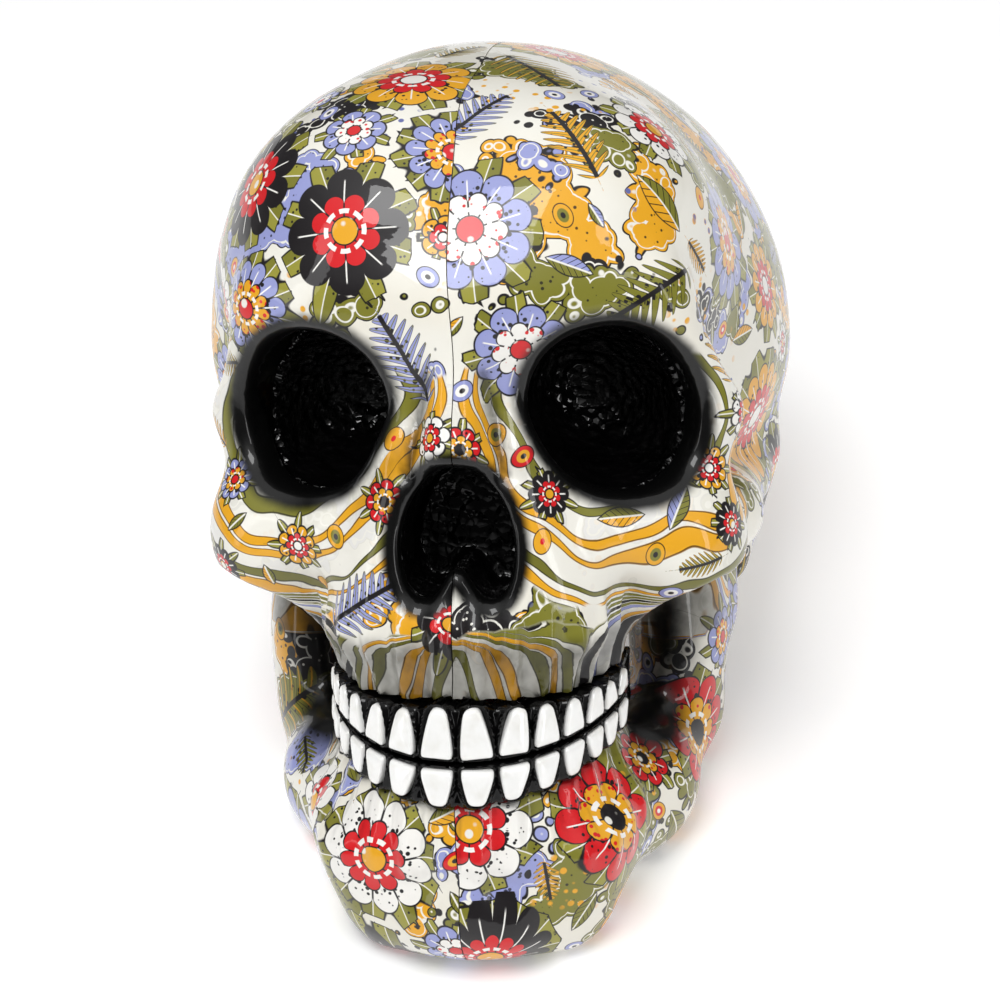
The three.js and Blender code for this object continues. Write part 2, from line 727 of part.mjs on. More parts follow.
function stopperPlug() {
  const lipRadius = HOLE_RADIUS + STOPPER_LIP_WIDTH;
  const lipLow = stopperSeatZ - FIT_GAP - STOPPER_LIP_THICKNESS;
  const plugRadius = HOLE_RADIUS - FIT_GAP;
  const profile = [
    [0, lipLow - STOPPER_GRIP_LENGTH],
    [STOPPER_GRIP_RADIUS, lipLow - STOPPER_GRIP_LENGTH],
    [STOPPER_GRIP_RADIUS, lipLow],
    [lipRadius, lipLow],
    [lipRadius, stopperSeatZ - FIT_GAP],
    [plugRadius, stopperSeatZ - FIT_GAP],
    [plugRadius - STOPPER_TAPER, stopperSeatZ + STOPPER_LENGTH],
    [0, stopperSeatZ + STOPPER_LENGTH],
  ];
  return lathe(profile);
}

function pourHole() {
  const seatRadius = HOLE_RADIUS + STOPPER_LIP_WIDTH + FIT_GAP;
  const profile = [
    [0, stopperSeatZ - FAR],
    [seatRadius, stopperSeatZ - FAR],
    [seatRadius, stopperSeatZ],
    [HOLE_RADIUS, stopperSeatZ],
    [HOLE_RADIUS, BRAIN_HOLLOW.centre[2]],
    [0, BRAIN_HOLLOW.centre[2]],
  ];
  return solidOf(lathe(profile));
}

function lathe(profile) {
  const points = profile.map(([radius, height]) => new THREE.Vector2(radius, height));
  const geometry = new THREE.LatheGeometry(points, ROUND_STEPS);
  geometry.rotateX(Math.PI / 2);
  geometry.translate(0, HOLE_Y, 0);
  return geometry;
}

function brainHollow() {
  const { centre, radii, lowHeight } = BRAIN_HOLLOW;
  const geometry = new THREE.SphereGeometry(1, BOWL_STEPS, BOWL_STEPS / 2);
  geometry.rotateX(Math.PI / 2);
  const place = geometry.attributes.position;
  for (let index = 0; index < place.count; index += 1) {
    const height = place.getZ(index);
    const tall = height < 0 ? lowHeight : radii[2];
    place.setXYZ(index, place.getX(index) * radii[0], place.getY(index) * radii[1], height * tall);
  }
  geometry.translate(...centre);
  return solidOf(geometry);
}

// Materials

const paint = (color, roughness) => new THREE.MeshStandardMaterial({ color, roughness, metalness: 0 });
const MATERIALS = {
  printed: paint(0xe6dccb, 0.12),
  black: paint(0x0a0a0b, 0.15),
  enamel: paint(0xf6f5f1, 0.15),
  rubber: paint(0x2b2a29, 0.8),
  stopper: paint(0x303030, 0.6),
};

function piece(name, geometry, material) {
  const mesh = new THREE.Mesh(geometry, material);
  mesh.name = name;
  return mesh;
}

// Castings

const skullLumps = [VAULT, FOREHEAD, occiput, UPPER_JAW, CHEEKBONE, CHEEK_WEB, SKULL_BASE];
const skullBox = boundsOf(skullLumps, SKULL_RODS, UPPER_CORE_SPAN);
const skullGrid = gridLines(skullBox, FACE_BACK_Y, FACE_TOP_Z);
const jawBox = boundsOf([RAMUS], [CHIN, ...JAW_RODS], LOWER_CORE_SPAN);
const jawGrid = gridLines(jawBox, jawBox.max.y, jawBox.max.z);

const base = belowBase();
const gumBack = -GUM_THICKNESS - FIT_GAP;
const gumSeat = archBand(GUM_RELIEF, gumBack, FIT_GAP, GUM_RELIEF);
const cranium = skin(skullField, skullGrid).subtract(biteBlock(false, -FIT_GAP / 2));
const mandible = skin(jawField, jawGrid).subtract(biteBlock(true, -FIT_GAP / 2));

const jawBranches = mandible.subtract(boxSolid([-FAR, -FAR, -FAR], [FAR, FACE_BACK_Y, FAR]));
const jawSeat = joined(roomAround(jawBranches, JAW_SEAT_GAP));

const socketSeats = SIDES.map(({ sign }) => socketBowl(sign, SOCKET_WALL + FIT_GAP));
const noseSeat = noseTunnel(NOSE_WALL + FIT_GAP, NOSE_BACK_Y + NOSE_WALL + FIT_GAP);
const skullCuts = joined([base, gumSeat, jawSeat, noseSeat, pourHole(), brainHollow(), ...socketSeats]);
const skullShell = cranium.subtract(skullCuts);
const jawCasting = mandible.subtract(joined([base, gumSeat]));

const skull = new THREE.Group();
skull.applyMatrix4(toTable);

for (const { name, sign } of SIDES) {
  const near = SEAM_GAP / 2;
  const low = sign > 0 ? near : -FAR;
  const high = sign > 0 ? FAR : -near;
  const halfSpace = boxSolid([low, -FAR, -FAR], [high, FAR, FAR]);
  skull.add(piece(`${name}_skull_shell`, geometryOf(skullShell.intersect(halfSpace)), MATERIALS.printed));
  skull.add(piece(`${name}_jaw_half`, geometryOf(jawCasting.intersect(halfSpace)), MATERIALS.printed));
  const cup = socketBowl(sign, SOCKET_WALL).subtract(socketBowl(sign, 0)).intersect(cranium);
  skull.add(piece(`${name}_socket_cup`, geometryOf(cup), MATERIALS.black));
}

const noseCup = noseTunnel(NOSE_WALL, NOSE_BACK_Y + NOSE_WALL).subtract(noseTunnel(0, NOSE_BACK_Y));
skull.add(piece('nose_cup', geometryOf(noseCup.intersect(cranium)), MATERIALS.black));

const allTeeth = teeth();
for (const upper of [true, false]) {
  const band = archBand(0, -GUM_THICKNESS, 0, 0);
  const pockets = allTeeth.filter((tooth) => tooth.upper === upper).map((tooth) => tooth.pocket);
  const gum = band.subtract(biteBlock(!upper, -FIT_GAP / 2)).subtract(joined(pockets));
  skull.add(piece(upper ? 'upper_gum' : 'lower_gum', geometryOf(gum), MATERIALS.black));
}
for (const tooth of allTeeth) {
  skull.add(piece(tooth.name, geometryOf(tooth.solid), MATERIALS.enamel));
}
skull.add(piece('base_stopper', stopperPlug(), MATERIALS.stopper));

const group = new THREE.Group();
group.add(skull);

// The front pads lie under the rod of the chin
const chinPad = new THREE.Vector3(...CHIN_MIDDLE)
  .lerp(new THREE.Vector3(...CHIN_CORNER), FRONT_PAD_X / CHIN_CORNER[0])
  .applyMatrix4(lean);
const padRows = [
  { row: 'front', x: FRONT_PAD_X, y: chinPad.y },
  { row: 'rear', x: REAR_PAD_X, y: rearPlace.y },
];
for (const { row, x, y } of padRows) {
  for (const { name, sign } of SIDES) {
    const geometry = new THREE.CylinderGeometry(PAD_RADIUS, PAD_RADIUS, PAD_THICKNESS, ROUND_STEPS);
    geometry.rotateX(Math.PI / 2);
    const pad = piece(`${row}_${name}_pad`, geometry, MATERIALS.rubber);
    pad.position.set(sign * x, y, PAD_THICKNESS / 2);
    group.add(pad);
  }
}

// The origin lies under the middle of the whole object, on the table
group.updateMatrixWorld(true);
const middle = new THREE.Box3().setFromObject(group, true).getCenter(new THREE.Vector3());
group.position.set(-middle.x, -middle.y, 0);

export default group;
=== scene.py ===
# Looks of a decorated skull: fine castings with a printed film, enamelled teeth and black gums.
# Shapes are in millimetres in the skull's own frame, from the middle of the line between the ear
# holes: x to its left, y to the back and z up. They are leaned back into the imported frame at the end.
import math

import bmesh
import bpy
import numpy as np
from mathutils import Matrix, Vector


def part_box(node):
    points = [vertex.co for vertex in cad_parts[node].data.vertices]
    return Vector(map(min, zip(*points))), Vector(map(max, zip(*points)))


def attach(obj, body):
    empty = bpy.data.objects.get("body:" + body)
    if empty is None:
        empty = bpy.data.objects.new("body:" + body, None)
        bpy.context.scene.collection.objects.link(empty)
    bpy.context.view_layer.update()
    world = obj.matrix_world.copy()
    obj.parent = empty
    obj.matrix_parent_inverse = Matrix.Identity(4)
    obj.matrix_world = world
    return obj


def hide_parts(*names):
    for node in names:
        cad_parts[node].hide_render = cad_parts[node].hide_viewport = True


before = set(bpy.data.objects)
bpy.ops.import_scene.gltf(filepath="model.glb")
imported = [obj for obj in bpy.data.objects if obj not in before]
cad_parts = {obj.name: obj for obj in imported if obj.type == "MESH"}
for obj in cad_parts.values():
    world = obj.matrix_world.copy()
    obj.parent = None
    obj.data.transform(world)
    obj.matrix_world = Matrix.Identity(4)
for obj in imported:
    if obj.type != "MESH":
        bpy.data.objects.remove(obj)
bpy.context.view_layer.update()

MM = 0.001
SIDES = (("left", 1), ("right", -1))
SEED = 7

# How the skull stands
LEAN = math.radians(27)
CHIN_RADIUS = 13.5
CHIN_FLAT = 2.3
OCCIPUT_FLAT = 3
FRONT_PAD_X = 13
FIT_GAP = 0.3
JAW_SEAT_GAP = 0.6
SEAM_GAP = 0.22

# Landmarks, on the left side or on the middle
CHIN_MIDDLE = (0, -81, -89)
CHIN_CORNER = (15, -75, -88.5)
LIP_SIDE = (20, -79, -72)
JAW_BODY_BACK = (32, -44, -70.5)
ORBIT_RIM_SIDE = (52.5, -66, 18)
CHEEK_ARCH_MIDDLE = (53, -38, -9.5)

# Lumps of the castings: eggs with a height below the centre where it differs, and their blends
VAULT = {"centre": (-3.8, 10, 27.6), "radii": (70.8, 82, 72.85), "low": 52}
FOREHEAD = {"centre": (-5, -36, 38), "radii": (56.2, 58, 55.65), "low": 50, "blend": 24}
OCCIPUT = {"centre": (0, 48, 0), "radii": (52, 42, 42), "blend": 20}
FRONTAL_BOSS = {"centre": (22, -60, 58), "radii": (26, 27, 24), "blend": 22}
TEMPLE_HOLLOW = {"centre": (82, -50, 20), "radii": (24, 26, 32), "blend": 14}
ORBIT_WALL = {"centre": (33, -61, 17), "radii": (18.5, 26, 24.5), "blend": 6}
UPPER_JAW = {"centre": (0, -66, -14), "radii": (33, 31, 36), "blend": 12}
CHEEKBONE = {"centre": (46, -66, -10), "radii": (12.5, 14, 13), "blend": 10}
CHEEK_WEB = {"centre": (44, -34, -6), "radii": (16, 28, 8), "blend": 6}
SKULL_BASE = {"centre": (0, 16, -8), "radii": (46, 55, 22), "blend": 16}
RAMUS = {"centre": (43.3, -22, -38), "radii": (12, 18, 29), "blend": 10}

# Rods between landmarks: start, end, radius at each and blend
SKULL_RODS = (
    ((0, -89, 43), (40, -80, 45), (7, 6), 10),
    ((43, -78, 41), ORBIT_RIM_SIDE, (6, 5.5), 8),
    (ORBIT_RIM_SIDE, (48, -68, -2), (5.5, 7), 6),
    ((9, -84, 8), (20, -84, -28), (11, 9), 10),
    ((0, -88, 34), (0, -96, 12), (7, 5), 8),
    ((30, -79, -7), (46, -70, -9), (8.5, 9.5), 8),
    ((44, -66, -14), (32, -64, -37), (8, 6), 8),
    ((48, -60, -12), CHEEK_ARCH_MIDDLE, (8, 7), 6),
    (CHEEK_ARCH_MIDDLE, (55.5, -6, -4.5), (7, 7.5), 8),
    ((53, 10, 0), (49, 12, -26), (11, 8), 10),
)
JAW_RODS = (
    ((0, -86, -72), LIP_SIDE, (10.5, 10.5), 10),
    ((0, -89, -88), (8, -87, -91), (7, 6), 9),
    ((18, -70, -85), JAW_BODY_BACK, (9.5, 11), 16),
    (LIP_SIDE, JAW_BODY_BACK, (12.2, 10.5), 14),
    (JAW_BODY_BACK, (42.2, -20, -59.5), (11, 9.2), 16),
    ((48.5, -12, -34), (50.5, -9, -11), (6.5, 6), 8),
)

# How far the back of the jaw sways to its right, and where along y it starts and ends
JAW_SWAY = 1.75
JAW_SWAY_SPAN = (-75, -25)

# Eye sockets and nose
SOCKET_CENTRE = (31.1, -77, 19.8)
SOCKET_RADII = (18.5, 31.5, 18.3)
SOCKET_SHEAR = 0.14
SOCKET_TURN = math.radians(20)
SOCKET_WALL = 2.5
SOCKET_RIM_ROUND = 4.0
NOSE_MIDDLE_Z = -5.5
NOSE_HALF_WIDTH = 12.6
NOSE_HALF_HEIGHT = 14.5
NOSE_NOTCH = 6.5
NOSE_BACK_Y = -72
NOSE_WALL = 2
NOSE_RIM_ROUND = 3.0
NOSE_FLOOR_BLEND = 3
NOSE_MARGIN = 14
NOSE_FAR = 12.0
RIM_LIP_DEPTH = 5
RIM_COVER = 0.25
LUMP_SIZE = 2.4
LUMP_HEIGHT = 0.75
LUMP_WALL = (-1.0, -0.4)
SOCKET_LUMP_SPAN = (-72, -62)
NOSE_LUMP_SPAN = (-92, -80)

# Dental arch
ARCH_HALF_WIDTH = 33
ARCH_DEPTH = 44.5
ARCH_FRONT_Y = -99.5
ARCH_CENTRE_Y = ARCH_FRONT_Y + ARCH_DEPTH
ARCH_CORE_INSET = 1
GUM_TOP_Z = -40
GUM_LOW_Z = -66
GUM_THICKNESS = 7
GUM_RELIEF = 8
BITE_Z = -54.3
BITE_RISE = math.tan(math.radians(15))
BITE_OVERLAP = 14
BITE_CUT_WIDTH = 8
BITE_CUT_BACK = 10
UPPER_CORE_RISE = 15
UPPER_CORE_BLEND = 8
JAW_CORE_RISE = 11
JAW_CORE_DROP = 12
JAW_CORE_BLEND = 6
TOOTH_PROUD = 1.5
TOOTH_SPACE = 1.6
TOOTH_BITE_GAP = 1.25
TOOTH_WIDTHS = (6.8, 6.4, 5.8, 5.6, 5.4, 5.4, 5.2)
UPPER_TOOTH_HEIGHTS = (10.9, 9.6, 8.6, 7.2, 6.4, 5.6, 4.7)
LOWER_TOOTH_HEIGHTS = (7.8, 7.3, 7.0, 6.9, 6.1, 5.9, 5.3)
TOOTH_TIP_SHARE = 0.2
TOOTH_SHOULDER_SHARE = 0.64
UPPER_GUM_MARGIN = 0.6
LOWER_GUM_MARGIN = 1.3
GUM_SCALLOP = 1.2
GUM_SHOULDER_RISE = -0.9
GUM_SHOULDER_SLOPE = 0.3
GUM_SHOULDER_CURVE = 0.06
GUM_SHOULDER_START = 6
GUM_SHOULDER_CAP = 6
ROOT_RIDGE_HEIGHT = 2.2
ROOT_RIDGE_LENGTH = 25
ROOT_RIDGE_FULL = 0.45
ROOT_RIDGE_WIDTH = 0.34
ROOT_RIDGE_LEVEL = 0.45
JAW_RIDGE_SHARE = 0.6

# Recess between the upper jaw and the upright branch of the lower one, darkened on the film with sprayed
# black and painted shade
RECESS_TOP = (40, -48, -16)
RECESS_LOW = (36, -48, -52)
RECESS_RADIUS = 7.5

# Furrows beside the nasal bone, their ends in x and z; painted shade darkens the film along them
NOSE_FURROW_TOP = (6.0, 28)
NOSE_FURROW_LOW = (10.5, 7)
NOSE_FURROW_WIDTH = 2.2
NOSE_FURROW_DEPTH = 1.6

# Pour hole and stopper
HOLE_Y = 12
HOLE_RADIUS = 11
HOLE_SEAT_Z = -27
HOLE_SEAT_RADIUS = 14.3
HOLE_TOP_Z = 6

# Depth of the casting's unevenness, and blends of its edges
BROAD_WAVE = 0.22
FINE_WAVE = 0.06
WAVE_SINK = 0.12
SHOULDER_BLEND = 3
EDGE_BLEND = 1
SEAT_BLEND = 0.4
CUP_EDGE_BLEND = 0.6

# Fineness of the castings and cups, and the boxes in which they are made
CAST_STEP = 1.4
CUP_STEP = 0.75
SHELL_BOX = ((-82, -106, -66), (72, 98, 106))
JAW_BOX = ((-62, -106, -108), (62, 4, 2))
SOCKET_BOX = ((6, -108, -6), (58, -40, 46))
NOSE_BOX = ((-18, -110, -26), (18, -66, 16))


# Places

def leaned(points):
    """Skull-frame points turned back by the lean."""
    points = np.asarray(points, float)
    y = points[..., 1] * math.cos(LEAN) + points[..., 2] * math.sin(LEAN)
    z = points[..., 2] * math.cos(LEAN) - points[..., 1] * math.sin(LEAN)
    return np.stack([points[..., 0], y, z], -1)


PAD_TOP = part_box("front_left_pad")[1].z / MM + FIT_GAP


def frame_shift():
    """Where the skull frame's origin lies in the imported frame, from the pads under the chin."""
    pads = [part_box(f"front_{side}_pad") for side, sign in SIDES]
    middle = sum((low + high for low, high in pads), Vector()) / 4 / MM
    share = FRONT_PAD_X / CHIN_CORNER[0]
    over_pads = leaned(np.array(CHIN_MIDDLE) * (1 - share) + np.array(CHIN_CORNER) * share)
    height = PAD_TOP + CHIN_RADIUS - CHIN_FLAT - leaned(CHIN_MIDDLE)[2]
    return np.array([middle.x, middle.y - over_pads[1], height])


SHIFT = frame_shift()


def settle_occiput():
    """Sets the occiput as high as its flat on the rear pads asks."""
    x, y, unused = OCCIPUT["centre"]
    drop = PAD_TOP - OCCIPUT_FLAT + OCCIPUT["radii"][2] - SHIFT[2]
    OCCIPUT["centre"] = (x, y, (drop + y * math.sin(LEAN)) / math.cos(LEAN))


settle_occiput()


def to_frame(points):
    """Skull-frame millimetres to packed-frame metres."""
    return (leaned(points) + SHIFT) * MM


# Distance fields

def column(values):
    return np.asarray(values, np.float32)


def smooth_min(a, b, blend):
    mix = np.maximum(blend - np.abs(a - b), 0) / blend
    return np.minimum(a, b) - mix * mix * blend / 4


def smooth_max(a, b, blend):
    return -smooth_min(-a, -b, blend)


def ramp(values, low, high):
    """Smooth step from 0 at low to 1 at high."""
    share = np.clip((values - low) / (high - low), 0, 1)
    return share * share * (3 - 2 * share)


def egg(points, lump):
    offset = points - column(lump["centre"])
    radii = np.broadcast_to(column(lump["radii"]), offset.shape)
    if "low" in lump:
        radii = radii.copy()
        radii[offset[:, 2] < 0, 2] = lump["low"]
    share = offset / radii
    level = np.sqrt((share ** 2).sum(1))
    slope = np.sqrt(((share / radii) ** 2).sum(1))
    return level * (level - 1) / np.maximum(slope, 1e-6)


def rod(points, start, end, radii):
    start = column(start)
    way = column(end) - start
    share = np.clip((points - start) @ way / (way @ way), 0, 1)
    gap = points - start - share[:, None] * way
    return np.sqrt((gap ** 2).sum(1)) - radii[0] - (radii[1] - radii[0]) * share


def mirrored(points):
    side = points.copy()
    side[:, 0] = np.abs(side[:, 0])
    return side


def arch_core(points, low, high):
    across = points[:, 0] / (ARCH_HALF_WIDTH - ARCH_CORE_INSET)
    back = points[:, 1] - ARCH_CENTRE_Y
    forward = np.minimum(back, 0) / (ARCH_DEPTH - ARCH_CORE_INSET)
    wall = (np.hypot(across, forward) - 1) * ARCH_HALF_WIDTH
    height = np.maximum(points[:, 2] - high, low - points[:, 2])
    return smooth_max(np.maximum(wall, back), height, 4)


def skull_field(points):
    side = mirrored(points)
    field = egg(points, VAULT)
    field = smooth_min(field, egg(points, FOREHEAD), FOREHEAD["blend"])
    for lump in (OCCIPUT, FRONTAL_BOSS):
        field = smooth_min(field, egg(side, lump), lump["blend"])
    field = smooth_max(field, -egg(side, TEMPLE_HOLLOW), TEMPLE_HOLLOW["blend"])
    for lump in (ORBIT_WALL, UPPER_JAW):
        field = smooth_min(field, egg(side, lump), lump["blend"])
    for start, end, radii, blend in SKULL_RODS:
        field = smooth_min(field, rod(side, start, end, radii), blend)
    for lump in (CHEEKBONE, CHEEK_WEB, SKULL_BASE):
        field = smooth_min(field, egg(side, lump), lump["blend"])
    core = arch_core(side, BITE_Z - BITE_OVERLAP, GUM_TOP_Z + UPPER_CORE_RISE)
    return smooth_min(field, core, UPPER_CORE_BLEND)


def jaw_field(points):
    swayed = points.copy()
    swayed[:, 0] += JAW_SWAY * ramp(points[:, 1], *JAW_SWAY_SPAN)
    side = mirrored(swayed)
    field = rod(side, CHIN_MIDDLE, CHIN_CORNER, (CHIN_RADIUS, CHIN_RADIUS))
    for start, end, radii, blend in JAW_RODS:
        field = smooth_min(field, rod(side, start, end, radii), blend)
    field = smooth_min(field, egg(side, RAMUS), RAMUS["blend"])
    core = arch_core(side, GUM_LOW_Z - JAW_CORE_DROP, BITE_Z + JAW_CORE_RISE)
    return smooth_min(field, core, JAW_CORE_BLEND)


def socket_field(points, grow):
    """Distance to the bowl of an eye socket, on the side that each point lies on."""
    offset = mirrored(points) - column(SOCKET_CENTRE)
    turn_cos, turn_sin = math.cos(SOCKET_TURN), math.sin(SOCKET_TURN)
    x = offset[:, 0] * turn_cos + offset[:, 1] * turn_sin
    y = offset[:, 1] * turn_cos - offset[:, 0] * turn_sin
    x = x + SOCKET_SHEAR * offset[:, 2]
    radii = tuple(radius + grow for radius in SOCKET_RADII)
    return egg(np.stack([x, y, offset[:, 2]], 1), {"centre": (0, 0, 0), "radii": radii})


def bezier(start, leave, arrive, end, count):
    share = np.linspace(0, 1, count, endpoint=False)[:, None]
    rest = 1 - share
    start, leave, arrive, end = (np.array(point, float) for point in (start, leave, arrive, end))
    near = rest ** 3 * start + 3 * rest ** 2 * share * leave
    return near + 3 * rest * share ** 2 * arrive + share ** 3 * end


def nose_outline():
    """The heart of the nose cup's rim, in x and z around its own middle."""
    wide = NOSE_HALF_WIDTH + NOSE_WALL
    tall = NOSE_HALF_HEIGHT + NOSE_WALL
    notch = (0, NOSE_NOTCH - tall)
    lobe = (0.5 * wide, -tall)
    flank = (wide, -0.2 * tall)
    half = np.concatenate([
        bezier(notch, (0.15 * wide, -0.8 * tall), (0.2 * wide, -tall), lobe, 8),
        bezier(lobe, (0.85 * wide, -tall), (wide, -0.6 * tall), flank, 8),
        bezier(flank, (wide, 0.4 * tall), (0.55 * wide, tall), (0, tall), 14),
        [(0, tall)],
    ])
    other = half[-2:0:-1] * (-1, 1)
    return np.concatenate([half, other])


NOSE_OUTLINE = nose_outline()


def outline_distance(points, outline):
    """Signed distance of 2-D points to a closed outline, negative inside."""
    nearest = np.full(len(points), 1e9)
    inside = np.zeros(len(points), bool)
    for start, end in zip(outline, np.roll(outline, -1, 0)):
        way = end - start
        share = np.clip((points - start) @ way / (way @ way), 0, 1)
        gap = points - start - share[:, None] * way
        nearest = np.minimum(nearest, (gap ** 2).sum(1))
        spans = (start[1] > points[:, 1]) != (end[1] > points[:, 1])
        if spans.any():
            cross = start[0] + way[0] * (points[:, 1] - start[1]) / (way[1] if way[1] else 1e-9)
            inside ^= spans & (points[:, 0] < cross)
    distance = np.sqrt(nearest)
    return np.where(inside, -distance, distance)


def nose_field(points, grow, back_y):
    """Distance to the nose tunnel, grown from its rim, which ends at back_y."""
    flat = points[:, [0, 2]] - (0, NOSE_MIDDLE_Z)
    near = (np.abs(flat) < NOSE_HALF_HEIGHT + NOSE_MARGIN).all(1) & (points[:, 1] < back_y + NOSE_FAR)
    field = np.full(len(points), NOSE_FAR, np.float32)
    wall = outline_distance(flat[near], NOSE_OUTLINE) - grow
    field[near] = smooth_max(wall, points[near, 1] - back_y, NOSE_FLOOR_BLEND)
    return field


def above_bite(points):
    """Height above the bite plane, which rises to the back."""
    return points[:, 2] - BITE_Z - BITE_RISE * (points[:, 1] - ARCH_FRONT_Y)


def arch_growth(points):
    """How far a point lies outside the dental arch, level with it."""
    back = points[:, 1] - ARCH_CENTRE_Y
    forward = np.minimum(back, 0)
    scale = np.hypot(points[:, 0] / ARCH_HALF_WIDTH, forward / ARCH_DEPTH)
    return (scale - 1) * ARCH_HALF_WIDTH


def arch_length(points):
    """Length along the dental arch from its front to where each point lies beside it."""
    forward = (ARCH_CENTRE_Y - points[:, 1]) / ARCH_DEPTH
    turn = np.arctan2(np.abs(points[:, 0]) / ARCH_HALF_WIDTH, forward)
    return np.interp(turn, ARCH_TURNS, ARCH_LENGTHS)


def gum_height(points):
    """How far a point lies above or below the band of the gums, negative within it."""
    height = above_bite(points)
    length = arch_length(points)
    above = height - np.interp(length, ARCH_LENGTHS, UPPER_GUM_EDGE)
    below = -height - np.interp(length, ARCH_LENGTHS, LOWER_GUM_EDGE)
    return np.maximum(above, below)


def gum_seat(points):
    """The groove around the dental arch in which the gums lie."""
    growth = arch_growth(points)
    ring = np.maximum(growth - GUM_RELIEF, -GUM_THICKNESS - FIT_GAP - growth)
    back = points[:, 1] - ARCH_CENTRE_Y - GUM_RELIEF
    return np.maximum(np.maximum(ring, gum_height(points) - FIT_GAP), back)


def bite_cut(points, side):
    """Negative on one side of the bite, in front of the jaw's upright branches."""
    wide = np.abs(points[:, 0]) - ARCH_HALF_WIDTH - BITE_CUT_WIDTH
    back = points[:, 1] - ARCH_CENTRE_Y - BITE_CUT_BACK
    return np.maximum(np.maximum(-side * above_bite(points), wide), back)


def below_pads(points):
    """Negative below the flats that rest on the pads."""
    height = points[:, 2] * math.cos(LEAN) - points[:, 1] * math.sin(LEAN) + SHIFT[2]
    return height - PAD_TOP


def pour_hole(points):
    radius = np.hypot(points[:, 0], points[:, 1] - HOLE_Y)
    seat = np.maximum(radius - HOLE_SEAT_RADIUS, points[:, 2] - HOLE_SEAT_Z)
    hole = np.maximum(radius - HOLE_RADIUS, points[:, 2] - HOLE_TOP_Z)
    return np.minimum(seat, hole)


# Dental arch as a path: the turn along the half ellipse at each length from its front

ARCH_TURNS = np.linspace(0, math.pi / 2, 721)


def arch_point(turn, grow):
    x = (ARCH_HALF_WIDTH + grow) * np.sin(turn)
    y = ARCH_CENTRE_Y - (ARCH_DEPTH + grow) * np.cos(turn)
    return x, y


ARCH_LENGTHS = np.concatenate([[0], np.cumsum(np.hypot(*np.diff(arch_point(ARCH_TURNS, 0))))])


def turn_at(length):
    return np.sign(length) * np.interp(np.abs(length), ARCH_LENGTHS, ARCH_TURNS)


def tooth_centres():
    widths = np.array(TOOTH_WIDTHS) + TOOTH_SPACE
    return np.cumsum(widths) - widths / 2


TOOTH_CENTRES = tooth_centres()


def gum_edge(tooth_heights, margin):
    """How far a gum reaches from the bite along the arch, lobed around the roots of its teeth."""
    reach = np.abs(ARCH_LENGTHS[:, None] - TOOTH_CENTRES)
    half = (np.array(TOOTH_WIDTHS) + TOOTH_SPACE) / 2
    dip = GUM_SCALLOP * np.minimum((reach / half).min(1), 1) ** 2
    return TOOTH_BITE_GAP + np.interp(ARCH_LENGTHS, TOOTH_CENTRES, tooth_heights) + margin - dip


UPPER_GUM_EDGE = gum_edge(UPPER_TOOTH_HEIGHTS, UPPER_GUM_MARGIN)
LOWER_GUM_EDGE = gum_edge(LOWER_TOOTH_HEIGHTS, LOWER_GUM_MARGIN)


# Castings

def cast_waves(points):
    """Faint unevenness of a hand-finished casting, most of it below the bare surface."""
    x, y, z = points.T
    broad = np.sin(x / 7.1 + 0.6 * np.sin(z / 9)) * np.sin(y / 8.3 + 1) * np.sin(z / 7.7 + 2)
    fine = np.sin(x / 3.1 + z / 5) * np.sin(y / 3.7 - z / 4.1)
    return BROAD_WAVE * broad + FINE_WAVE * fine - WAVE_SINK


def root_ridges(points):
    """Upright ridges over the roots of the teeth, above the upper gum and below the lower one."""
    length = arch_length(points)
    ridges = np.zeros(len(points), np.float32)
    for centre, width in zip(TOOTH_CENTRES, TOOTH_WIDTHS):
        ridges += np.exp(-((length - centre) / (ROOT_RIDGE_WIDTH * width)) ** 2)
    height = gum_height(points)
    fade = 1 - ramp(height, ROOT_RIDGE_LENGTH * ROOT_RIDGE_FULL, ROOT_RIDGE_LENGTH)
    fade = ramp(height, -2, 1) * fade
    front = ramp(-points[:, 1], 52, 62)
    outside = ramp(arch_growth(points), -6, -2)
    return ROOT_RIDGE_HEIGHT * (ridges - ROOT_RIDGE_LEVEL) * fade * front * outside


def nose_furrows(points):
    """Depth of the furrow on each side of the nasal bone, from beside the brow to the nose."""
    side = mirrored(points)[:, [0, 2]]
    start = np.array(NOSE_FURROW_TOP)
    run = np.array(NOSE_FURROW_LOW) - start
    share = np.clip((side - start) @ run / (run @ run), 0, 1)
    away = np.linalg.norm(side - start - share[:, None] * run, axis=1)
    return np.exp(-(away / NOSE_FURROW_WIDTH) ** 2) * ramp(-points[:, 1], 50, 60)


def gum_shoulder(points):
    """Outside of a slope that leads the casting back to the face of the gums."""
    height = np.maximum(gum_height(points), 0)
    allowed = GUM_SHOULDER_SLOPE * height + GUM_SHOULDER_RISE
    allowed += GUM_SHOULDER_CURVE * np.maximum(height - GUM_SHOULDER_START, 0) ** 2
    behind = np.maximum(points[:, 1] - ARCH_CENTRE_Y, 0)
    return np.minimum(arch_growth(points) - allowed, GUM_SHOULDER_CAP) - 2 * behind


